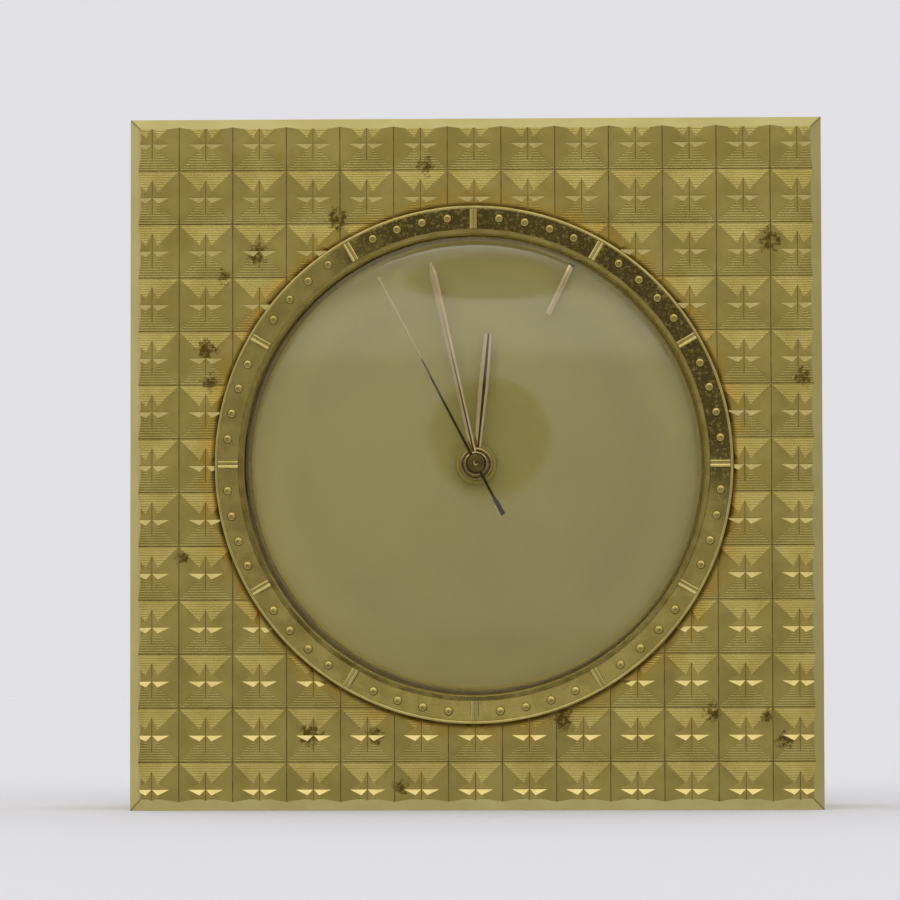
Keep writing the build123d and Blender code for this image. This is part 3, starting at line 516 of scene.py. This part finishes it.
def engraved_cell():
    """One pyramid with concentric engraved lines and a four-pointed star cut into its top."""
    bm = bmesh.new()
    steps = int((half_cell - PYRAMID_TOP) / LINE_PITCH)
    pitch = (half_cell - PYRAMID_TOP) / steps
    offsets = [(half_cell, CELL_FOOT), (half_cell, cell_height(half_cell))]
    for step in range(steps):
        furrow = half_cell - (step + 0.5) * pitch
        offsets.append((furrow + LINE_W / 2, cell_height(furrow + LINE_W / 2)))
        offsets.append((furrow, cell_height(furrow) - LINE_DEPTH))
        offsets.append((furrow - LINE_W / 2, cell_height(furrow - LINE_W / 2)))
    offsets.append((PYRAMID_TOP, RELIEF))
    capped(bm, [faded_square(o, z) for o, z in offsets])
    bmesh.ops.recalc_face_normals(bm, faces=bm.faces)
    for turn in (0, pi / 2):
        star_cut(bm, turn)
    # Flat keel bottoms of the star take the dark groove gilt; faces facing sideways, and star walls not
    # facing upwards, take the side gilt, painted lighter for the light on them
    for face in bm.faces:
        sideways = abs(face.normal.x) > max(abs(face.normal.y), 0.02)
        in_star = face.material_index == 1
        if in_star and face.normal.z > 0.98 and abs(face.calc_center_median().x) < STAR_KEEL:
            face.material_index = 2
        elif sideways or in_star and face.normal.y < 0.2:
            face.material_index = 4
    return bm


def trim(bm, outward):
    """Cuts a cell back with a steep facet above the bevel along one side of the panel."""
    normal = (Vector(outward) + Vector((0, 0, CUT_LEAN))).normalized()
    start = Vector(outward) * BEVEL_HALF
    everything = bm.verts[:] + bm.edges[:] + bm.faces[:]
    bmesh.ops.bisect_plane(bm, geom=everything, plane_co=start, plane_no=normal, clear_outer=True)
    rim = [edge for edge in bm.edges if edge.is_boundary]
    for face in bmesh.ops.edgeloop_fill(bm, edges=rim)["faces"]:
        face.material_index = 3


def embossed_panel():
    """Grid of engraved pyramids on a bevelled sheet, cut back round the ring's seat."""
    pattern = bpy.data.meshes.new("cell")
    cell = engraved_cell()
    cell.to_mesh(pattern)
    cell.free()
    panel = bmesh.new()
    crossing = bmesh.new()
    reach = int(CASE_SIDE / 2 / CELL)
    for column in range(-reach, reach + 1):
        for line in range(-reach, reach + 1):
            place = Vector((column * CELL, line * CELL, 0)) + SHIFT
            away = place - Vector(RING_MIDDLE)
            near = Vector((max(abs(away.x) - half_cell, 0), max(abs(away.y) - half_cell, 0)))
            far = Vector((abs(away.x) + half_cell, abs(away.y) + half_cell))
            if far.length < SEAT_R:
                continue
            one = bmesh.new()
            one.from_mesh(pattern)
            bmesh.ops.translate(one, verts=one.verts, vec=place)
            for axis in range(2):
                if abs(place[axis]) + half_cell > BEVEL_HALF - RELIEF:
                    outward = [0, 0, 0]
                    outward[axis] = 1 if place[axis] > 0 else -1
                    trim(one, outward)
            joined = bpy.data.meshes.new("one")
            one.to_mesh(joined)
            one.free()
            (crossing if near.length < SEAT_R else panel).from_mesh(joined)
            bpy.data.meshes.remove(joined)
    seat = bmesh.new()
    capped(seat, [circle(SEAT_R, z, centre=RING_MIDDLE) for z in (-1, 2)])
    bmesh.ops.recalc_face_normals(seat, faces=seat.faces)
    carve(crossing, seat)
    joined = bpy.data.meshes.new("crossing")
    crossing.to_mesh(joined)
    panel.from_mesh(joined)
    first = len(panel.faces)
    count = 192
    strip(panel, [circle(HOLE_R, 0, count), square(BEVEL_HALF, 0, count),
                  square(BEVEL_HALF + PANEL_T, -PANEL_T, count), circle(HOLE_R, -PANEL_T, count)])
    panel.faces.ensure_lookup_table()
    for face in panel.faces[first:]:
        flat = max(abs(vertex.co.z) for vertex in face.verts) < 1e-6
        face.material_index = 2 if flat else 3
    return piece("embossed_panel_relief", panel, "case", "gilt_front", ["embossed_panel"], front_paints[1:],
                 sharp=4.0)


embossed_panel()

# Chapter ring with its beads and bars
OPENING_R = RING_R - 4.15
STEP_R = OPENING_R + 0.7
LIP_INNER_R = RING_R - 0.48
RING_H = 1.7
FLOOR_OUTER = 1.57
FLOOR_INNER = 1.13
STEP_H = 1.31
BEAD_CIRCLE_R = STEP_R + 1.7
BEAD_R = 0.68
BEAD_H = 0.46
BAR_HALF = 0.6
FLANGE_R = OPENING_R - 0.2
FLANGE_H = 0.35
RING_EDGE = 0.1
floor_slope = (FLOOR_OUTER - FLOOR_INNER) / (LIP_INNER_R - STEP_R)


def floor_height(radius):
    return FLOOR_INNER + floor_slope * (radius - STEP_R)


def chapter_ring():
    """Turned ring with a step, a sloping floor and a rounded lip."""
    bm = bmesh.new()
    edge = RING_EDGE
    middle = (RING_R + LIP_INNER_R) / 2
    round_r = (RING_R - LIP_INNER_R) / 2
    lip = [(middle + round_r * cos(pi * k / 8), RING_H + round_r * (sin(pi * k / 8) - 1)) for k in range(8)]
    turned(bm, [
        (OPENING_R, 0), (RING_R, 0), *lip, (LIP_INNER_R - edge / 3, floor_height(LIP_INNER_R)),
        (STEP_R + edge / 2, floor_height(STEP_R)), (STEP_R, STEP_H - edge / 2), (STEP_R - edge / 2, STEP_H),
        (OPENING_R + edge, STEP_H - 0.5 * edge), (OPENING_R, STEP_H - 1.7 * edge),
        (FLANGE_R, FLANGE_H + edge), (FLANGE_R, FLANGE_H), (OPENING_R, FLANGE_H),
    ], 256)
    # The lip takes the studs gilt, painted paler as a highlight; the sloping floor takes the gilt with
    # painted shade on an arc
    for face in bm.faces:
        middle = face.calc_center_median()
        reach = Vector((middle.x, middle.y)).length
        if reach > LIP_INNER_R:
            face.material_index = 2
        elif reach > STEP_R and middle.z > 0.5:
            face.material_index = 1
    bmesh.ops.translate(bm, verts=bm.verts, vec=RING_MIDDLE)
    return piece("chapter_ring_turned", bm, "case", "gilt_ring", ["chapter_ring"],
                 (shaded_arc_floor, paints["gilt_studs"]), sharp=20.0)


def minute_beads():
    """Low round studs whose steep lower sides are painted dark as shade round their feet, seated square on
    the sloping floor.
    """
    bm = bmesh.new()
    count = 20
    rings = 6
    loops = [circle(BEAD_R, -0.1, count)]
    for k in range(rings):
        turn = pi / 2 * k / rings
        loops.append(circle(BEAD_R * cos(turn)**0.6, BEAD_H * sin(turn), count))
    rows = strip(bm, loops, close=False)
    bm.faces.new(rows[0])
    top = bm.verts.new((0, 0, BEAD_H))
    for k in range(count):
        bm.faces.new((rows[-1][k], rows[-1][(k + 1) % count], top))
    # The lower sides take the dark groove gilt as painted shade
    for face in bm.faces:
        face.material_index = 1 if min(vertex.co.z for vertex in face.verts) < 0.3 * BEAD_H else 0
    seat = Matrix.Translation((0, BEAD_CIRCLE_R, floor_height(BEAD_CIRCLE_R)))
    seat = seat @ Matrix.Rotation(floor_slope, 4, "X")
    copies(bm, [Matrix.Rotation(-radians(6 * m), 4, "Z") @ seat for m in range(60) if m % 5])
    bmesh.ops.translate(bm, verts=bm.verts, vec=RING_MIDDLE)
    return piece("minute_beads_domed", bm, "case", "gilt_ring", ["minute_beads"], (groove_and_shade_gilt,),
                 paint="gilt_beads")


def hour_bars():
    """Two rounded ridges with a furrow between them, from the step to the lip."""
    bm = bmesh.new()
    half_crown = [(0.12, -0.09), (0.30, -0.03), (0.62, 0.0), (0.86, -0.08), (1.0, -0.30)]
    crown = [(-x, z) for x, z in reversed(half_crown)] + half_crown
    loops = []
    for radius in (STEP_R, LIP_INNER_R - 0.02):
        foot = floor_height(radius) - 0.02
        section = [(BAR_HALF, foot), (-BAR_HALF, foot)] + [(BAR_HALF * x, RING_H + z) for x, z in crown]
        loops.append([(x, radius, z) for x, z in section])
    capped(bm, loops)
    copies(bm, [Matrix.Rotation(-radians(30 * hour), 4, "Z") for hour in range(12)])
    bmesh.ops.translate(bm, verts=bm.verts, vec=RING_MIDDLE)
    return piece("hour_bars_ridged", bm, "case", "gilt_ring", ["hour_bars"], paint="gilt_studs")


chapter_ring()
minute_beads()
hour_bars()

# Glass: a smooth dome over the CAD node's rim
glass_low, glass_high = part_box("glass")
GLASS_R = (glass_high.x - glass_low.x) / 2 / MM
GLASS_T = 1.6
RIM_W = 0.8
DOME_RISE = 5.0
dome_edge = OPENING_R - 0.4
dome_r = (dome_edge**2 + DOME_RISE**2) / (2 * DOME_RISE)
rim_back = level(glass_high.y)


def dome(radius, sphere_r, bands, count):
    """Loops of a shallow dome from its edge to near the middle."""
    loops = []
    for k in range(bands):
        out = radius * (1 - k / bands)
        loops.append(circle(out, DOME_RISE - dome_r + sqrt(sphere_r**2 - out**2), count))
    return loops


def glass():
    """Dome with a flat rim, whose outer wall lies in a dark seat."""
    bm = bmesh.new()
    count = 192
    bore = GLASS_R - RIM_W
    bands = 18
    outside = dome(dome_edge, dome_r, bands, count)
    inside = dome(bore, dome_r - GLASS_T, bands, count)
    rim = [circle(bore, rim_back, count), circle(GLASS_R, rim_back, count), circle(GLASS_R, 0, count)]
    rows = strip(bm, inside[::-1] + rim + outside, close=False)
    for row, height in ((rows[0], DOME_RISE - GLASS_T), (rows[-1], DOME_RISE)):
        middle = bm.verts.new((0, 0, height))
        for k in range(count):
            bm.faces.new((row[k], row[(k + 1) % count], middle))
    for face in bm.faces:
        if min(Vector(vertex.co.xy).length for vertex in face.verts) > GLASS_R - 0.1:
            face.material_index = 1
    return piece("glass_dome", bm, "case", "clear_glass", ["glass"], (paints["spacer_dark"],), sharp=25.0)


glass()


# Hands: bevelled blades with a flat top that narrows to a ridge, and a turned collet
def blade(bm, stations, low, thickness):
    """Stations are (distance along, half width, half width of the flat top, a little right of the middle)."""
    loops = []
    for along, half, flat in stations:
        middle = 0.15 * half
        loops.append([(-half, along, low), (half, along, low), (half, along, low + 0.7 * thickness),
                      (middle + flat, along, low + thickness), (middle - flat, along, low + thickness),
                      (-half, along, low + 0.7 * thickness)])
    capped(bm, loops)


def collet(bm, radius, bore, low, high, count=48):
    """Turned ring with softened edges, or a solid button where there is no bore."""
    soft = 0.12
    outside = [(radius, low), (radius, high - 1.5 * soft), (radius - soft, high - 0.4 * soft)]
    if bore:
        crown = (radius + bore) / 2
        inside = [(crown, high), (bore + soft, high - 0.4 * soft), (bore, high - 1.5 * soft)]
        strip(bm, [circle(r, z, count) for r, z in [(bore, low)] + outside + inside])
    else:
        crown = [(0.75 * radius, high), (0.4 * radius, high + 0.15 * soft), (0.1 * radius, high + 0.2 * soft)]
        capped(bm, [circle(r, z, count) for r, z in outside + crown])


def hand(node, angle, stations, thickness, hub):
    """Blade and collet at the CAD node's own heights."""
    bm = bmesh.new()
    low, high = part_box(node)
    back = level(high.y)
    front = level(low.y)
    middle = (back + front - thickness) / 2
    collet(bm, *hub, back, front)
    for face in bm.faces:
        face.material_index = 1
    blade(bm, stations, middle, thickness)
    turn_all(bm, angle)
    return bm


disc_low, disc_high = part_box("alarm_disc")
DISC_R = (disc_high.x - disc_low.x) / 2 / MM
HOUR_L = 0.588 * DISC_R
MINUTE_L = 0.927 * DISC_R
SECOND_L = 0.942 * DISC_R
SECOND_TAIL = 0.26 * DISC_R
HOUR_ANGLE = 5.4
MINUTE_ANGLE = -12.6
SECOND_ANGLE = -27.5
ALARM_ANGLE = 25.7
BATON_L = 8.4
BATON_HALF = 0.4


def hour_hand():
    stations = [(2.1, 0.44, 0.13), (0.6 * HOUR_L, 0.74, 0.22), (HOUR_L - 0.6, 0.56, 0.16),
                (HOUR_L, 0.42, 0.10)]
    bm = hand("hour_hand", HOUR_ANGLE, stations, 0.4, (2.5, 1.95))
    return piece("hour_hand_bevelled", bm, "hours", "gilt_hands", ["hour_hand"], (hub_gilt,), sharp=8.0)


def minute_hand():
    stations = [(1.4, 0.42, 0.12), (0.45 * MINUTE_L, 0.46, 0.08), (0.8 * MINUTE_L, 0.54, 0.02),
                (MINUTE_L - 1.8, 0.52, 0.02), (MINUTE_L, 0.07, 0.01)]
    bm = hand("minute_hand", MINUTE_ANGLE, stations, 0.35, (1.85, 1.3))
    return piece("minute_hand_bevelled", bm, "minutes", "gilt_hands", ["minute_hand"], (hub_gilt,), sharp=8.0)


def seconds_hand():
    stations = [(-SECOND_TAIL, 0.42, 0.38), (2.0 - SECOND_TAIL, 0.38, 0.34), (3.0 - SECOND_TAIL, 0.20, 0.17),
                (0, 0.22, 0.18), (0.46 * SECOND_L, 0.17, 0.13), (0.56 * SECOND_L, 0.17, 0.02),
                (SECOND_L, 0.13, 0.01)]
    bm = hand("seconds_hand", SECOND_ANGLE, stations, 0.25, (1.4, 0))
    front = level(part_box("seconds_hand")[0].y)
    collet(bm, 0.5, 0, front, front + 0.25)
    return piece("seconds_hand_fine", bm, "seconds", "gilt_hands", ["seconds_hand"], (groove_and_shade_gilt,),
                 sharp=8.0)


def alarm_baton():
    bm = bmesh.new()
    low = level(disc_low.y)
    blade(bm, [(along, BATON_HALF, 0.03) for along in (DISC_R - BATON_L, DISC_R)], low, 0.35)
    turn_all(bm, ALARM_ANGLE)
    return piece("alarm_baton_faceted", bm, "alarm_pointer", "gilt_hands", ["alarm_baton"], sharp=8.0)


def alarm_boss():
    """Low boss of the alarm disc round the hour pipe."""
    bm = bmesh.new()
    front = level(disc_low.y)
    outline = [(2.06, front - 0.02), (2.06, front + 0.12), (2.95, front + 0.12), (3.05, front - 0.02)]
    strip(bm, [circle(r, z, 64) for r, z in outline])
    return piece("alarm_disc_boss", bm, "alarm_pointer", "clear_plastic", [], paint="dial_champagne")


alarm_boss()
hour_hand()
minute_hand()
seconds_hand()
alarm_baton()


# Back of the clock: screws, knobs and switch
SCREW_HEAD_R = 2.2
SLOT_HALF = 0.3
SLOT_REACH = 3.0
SCREW_TURNS = (20, 75, 130, 160)


def cover_screws():
    """Slotted round-headed screws."""
    low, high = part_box("cover_screws")
    under = level(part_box("back_cover")[1].y)
    outer = under - level(high.y)
    reach_x = (high.x - low.x) / 2 / MM - SCREW_HEAD_R
    reach_y = (high.z - low.z) / 2 / MM - SCREW_HEAD_R
    bm = bmesh.new()
    count = 40
    head = [(SCREW_HEAD_R, 0.0), (SCREW_HEAD_R, 0.35 * outer), (2.0, 0.7 * outer), (1.5, 0.92 * outer),
            (0.8, outer)]
    capped(bm, [circle(r, -z, count) for r, z in head])
    bmesh.ops.recalc_face_normals(bm, faces=bm.faces)
    slit = bmesh.new()
    capped(slit, [oblong(SLOT_REACH, SLOT_HALF, z) for z in (-2 * outer, -0.5 * outer)])
    bmesh.ops.recalc_face_normals(slit, faces=slit.faces)
    carve(bm, slit)
    corners = [(x, y) for x in (-reach_x, reach_x) for y in (-reach_y, reach_y)]
    copies(bm, [Matrix.Translation((x, y, under)) @ Matrix.Rotation(radians(turn), 4, "Z")
                for (x, y), turn in zip(corners, SCREW_TURNS)])
    for face in bm.faces:
        face.material_index = 0
    return piece("cover_screws_slotted", bm, "case", "screw_steel", ["cover_screws"])


KNOB_R = 6.0
FLUTES = 30
FLUTE_DEPTH = 0.18


def fluted(scale, z, middle, count):
    """Loop with fine flutes round a knob."""
    points = []
    for k in range(count):
        turn = 2 * pi * k / count
        r = scale * (KNOB_R - FLUTE_DEPTH * (1 - cos(FLUTES * turn)))
        points.append((middle[0] + r * cos(turn), middle[1] + r * sin(turn), z))
    return points


def knob(name, node, body):
    """Finely fluted knob with a neck towards the case and a dished end."""
    low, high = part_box(node)
    middle = place_of(node)
    front = level(low.y)
    back = level(high.y)
    count = 180
    neck = [(4.6, front), (4.7, front - 1.2)]
    grip = [(0.95, front - 1.4), (1.0, front - 1.8), (1.0, back + 0.5), (0.95, back)]
    dish = [(4.9, back), (4.4, back + 0.5), (1.2, back + 0.7)]
    loops = [circle(r, z, count, middle) for r, z in neck]
    loops += [fluted(scale, z, middle, count) for scale, z in grip]
    loops += [circle(r, z, count, middle) for r, z in dish]
    bm = bmesh.new()
    capped(bm, loops)
    return piece(name, bm, body, "black_plastic", [node])


SWITCH_W = 6.0
SWITCH_H = 5.0
SWITCH_T = 1.5
SWITCH_SOFT = 0.35
RIBS = 4
RIB_H = 0.5
NECK_HALF = 1.5
FOOT_HALF_W = 4.5
FOOT_HALF_H = 3.0
FOOT_T = 1.0


def ribbed_button(bm, low, middle):
    """Block with softened outer edges and straight ribs across its outer face."""
    soft = SWITCH_SOFT
    outline = [(SWITCH_W / 2, SWITCH_H / 2, low + SWITCH_T), (SWITCH_W / 2, SWITCH_H / 2, low + soft),
               (SWITCH_W / 2 - soft, SWITCH_H / 2 - soft, low)]
    capped(bm, [oblong(half_x, half_y, z, middle) for half_x, half_y, z in outline])
    pitch = (SWITCH_W - 2.4 * soft) / RIBS
    for k in range(RIBS):
        centre = (middle[0] - SWITCH_W / 2 + 1.2 * soft + (k + 0.5) * pitch, middle[1])
        rib = [(0.32 * pitch, 0.9, low + 0.05), (0.32 * pitch, 0.9, low - 0.4 * RIB_H),
               (0.12 * pitch, 0.86, low - RIB_H)]
        capped(bm, [oblong(half_x, share * SWITCH_H / 2 - soft, z, centre) for half_x, share, z in rib])


def alarm_switch():
    """Sliding button with grip ribs, its neck and the foot inside the cover."""
    low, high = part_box("alarm_switch")
    middle = place_of("alarm_switch")
    button = level(high.y) + RIB_H
    front = level(low.y)
    bm = bmesh.new()
    ribbed_button(bm, button, middle)
    capped(bm, [oblong(NECK_HALF, NECK_HALF, z, middle) for z in (button + SWITCH_T, front - FOOT_T)])
    capped(bm, [oblong(FOOT_HALF_W, FOOT_HALF_H, z, middle) for z in (front - FOOT_T, front)])
    return piece("alarm_switch_ribbed", bm, "switch", "black_plastic", ["alarm_switch"])


cover_screws()
knob("setting_knob_fluted", "setting_knob", "time_setting")
knob("alarm_knob_fluted", "alarm_knob", "alarm_setting")
alarm_switch()

# Softened edges on the plain CAD pieces that show
for name, width in (("case_band", 0.35), ("back_cover", 0.3), ("front_plate", 0.12), ("battery_door", 0.4)):
    soft = frame["nodes"][name].modifiers.new("soft_edges", "BEVEL")
    soft.width = width * MM
    soft.segments = 3
    soft.limit_method = "ANGLE"
    soft.angle_limit = radians(40)
    soft.harden_normals = False

# Camera, found from the four corners of the case in the photograph
CAMERA_PLACE = (0.0136, -0.700, 0.0208)
CAMERA_PITCH = 0.04773
CAMERA_YAW = -0.02550
CAMERA_ROLL = -0.00218
CAMERA_LENS = 184.11


def camera():
    made = bpy.data.objects.new("camera", bpy.data.cameras.new("camera"))
    scene.collection.objects.link(made)
    made.data.lens = CAMERA_LENS
    made.data.sensor_width = 36.0
    made.data.clip_start = 0.01
    turn = Matrix.Rotation(-CAMERA_YAW, 3, "Z") @ Matrix.Rotation(pi / 2 + CAMERA_PITCH, 3, "X")
    turn = turn @ Matrix.Rotation(CAMERA_ROLL, 3, "Z")
    made.rotation_euler = turn.to_euler()
    made.location = CAMERA_PLACE
    scene.camera = made


camera()

# Surround: a pale light tent, brighter above, with the dark places that the metal and glass show
BACKGROUND = (0.753, 0.745, 0.775)
# Degrees right of and above the line to the camera, half width, half height, softness, change of light
DARK_PLACES = [
    (0, 9, 9.4, 9.4, 0.25, 0.06),
    (-1.5, 34.7, 12.4, 3.7, 0.3, 0.3),
    (0, -29.5, 60, 7.5, 0.5, 0.66),
]
BRIGHT_PLACES = [
    (0, 48, 45, 6, 0.5, 2.5),
    (-4, 28, 40, 5.5, 0.7, 1.7),
    (-4, 42, 40, 2.4, 0.4, 1.7),
]
# Light of the tent on the line to the camera, and how it changes away from that line, upwards and sideways
TENT_MIDDLE = 0.50
TENT_AWAY = 0.32
TENT_UP = 0.17
STRETCH_MIDDLE = 0.45
STRETCH_AWAY = -0.36
TILT_MIDDLE = 0.14
TILT_AWAY = -0.26
to_camera = (Vector(CAMERA_PLACE) - Vector((0, GROOVE_Y, CENTRE_Z))).normalized()
right = Vector((0, 0, 1)).cross(-to_camera).normalized() * -1
upward = right.cross(-to_camera).normalized()


def toward(across, up):
    """Direction at angles to the right of and above the line to the camera, in degrees."""
    return (to_camera + right * tan(radians(across)) + upward * tan(radians(up))).normalized()


def surround():
    """Light tent for the object and an even pale backdrop for the camera."""
    world = bpy.data.worlds.new("surround")
    scene.world = world
    world.use_nodes = True
    nodes = Nodes(world.node_tree)
    direction = nodes.add("TexCoord").outputs["Generated"]

    def along(vector):
        node = nodes.add("VectorMath", {"operation": "DOT_PRODUCT"})
        nodes.feed(node.inputs[0], direction)
        node.inputs[1].default_value = vector
        return node.outputs["Value"]

    def patch(across_deg, up_deg, half_across, half_up, soft, change):
        """Oval place in the surround, by angles from the line to the camera, that is lit otherwise."""
        middle = toward(across_deg, up_deg)
        rise = right.cross(-middle).normalized()
        ahead = nodes.math("MAXIMUM", along(tuple(middle)), 0.02)
        width = nodes.math("MULTIPLY", ahead, tan(radians(half_across)))
        x = nodes.math("DIVIDE", along(tuple(right)), width)
        y = nodes.math("DIVIDE", along(tuple(rise)), nodes.math("MULTIPLY", ahead, tan(radians(half_up))))
        reach = nodes.math("ADD", nodes.math("MULTIPLY", x, x), nodes.math("MULTIPLY", y, y))
        return nodes.blend(reach, 1 - soft, 1 + soft, change, 1.0)

    up = along(tuple(upward))
    across = along(tuple(right))
    up_2 = nodes.math("MULTIPLY", up, up)
    across_2 = nodes.math("MULTIPLY", across, across)
    off_axis = nodes.math("ADD", up_2, across_2)
    lit = nodes.math("MULTIPLY_ADD", off_axis, TENT_AWAY, TENT_MIDDLE)
    lit = nodes.math("MULTIPLY_ADD", up, TENT_UP, lit)
    stretch = nodes.math("MULTIPLY_ADD", off_axis, STRETCH_AWAY, STRETCH_MIDDLE)
    lit = nodes.math("MULTIPLY_ADD", nodes.math("SUBTRACT", up_2, across_2), stretch, lit)
    tilt = nodes.math("MULTIPLY_ADD", off_axis, TILT_AWAY, TILT_MIDDLE)
    lit = nodes.math("MULTIPLY_ADD", across, tilt, lit)
    for place in DARK_PLACES + BRIGHT_PLACES:
        lit = nodes.math("MULTIPLY", lit, patch(*place))
    tent = nodes.add("Background", Color=(1.0, 0.99, 0.97, 1.0), Strength=lit)
    plain = nodes.add("Background", Color=(*BACKGROUND, 1.0), Strength=1.0)
    seen = nodes.add("LightPath").outputs["Is Camera Ray"]
    both = nodes.add("MixShader")
    nodes.feed(both.inputs[0], seen)
    nodes.feed(both.inputs[1], tent.outputs[0])
    nodes.feed(both.inputs[2], plain.outputs[0])
    output = nodes.add("OutputWorld")
    nodes.feed(output.inputs["Surface"], both.outputs[0])


surround()

# Floor: a pale sheet under the clock that keeps its shadow
FLOOR_HALF = 3.0
FLOOR_DARK = (0.769, 0.768, 0.814)
FLOOR_LIGHT = (0.778, 0.777, 0.823)


def floor():
    bm = bmesh.new()
    corners = ((-1, -1), (1, -1), (1, 1), (-1, 1))
    bm.faces.new([bm.verts.new((x * FLOOR_HALF, y * FLOOR_HALF, 0.0)) for x, y in corners])
    mesh = bpy.data.meshes.new("floor")
    bm.to_mesh(mesh)
    bm.free()
    made = bpy.data.objects.new("floor", mesh)
    scene.collection.objects.link(made)
    paint, nodes, shader = material("floor_pale")
    tone = nodes.noise(60.0, 2.0)
    nodes.feed(shader.inputs["Base Color"], nodes.mix(tone, (*FLOOR_DARK, 1), (*FLOOR_LIGHT, 1)))
    shader.inputs["Roughness"].default_value = 0.9
    shader.inputs["Specular IOR Level"].default_value = 0.1
    mesh.materials.append(paint)
    made.visible_glossy = False
    made.visible_transmission = False


floor()

scene.view_settings.view_transform = "Standard"
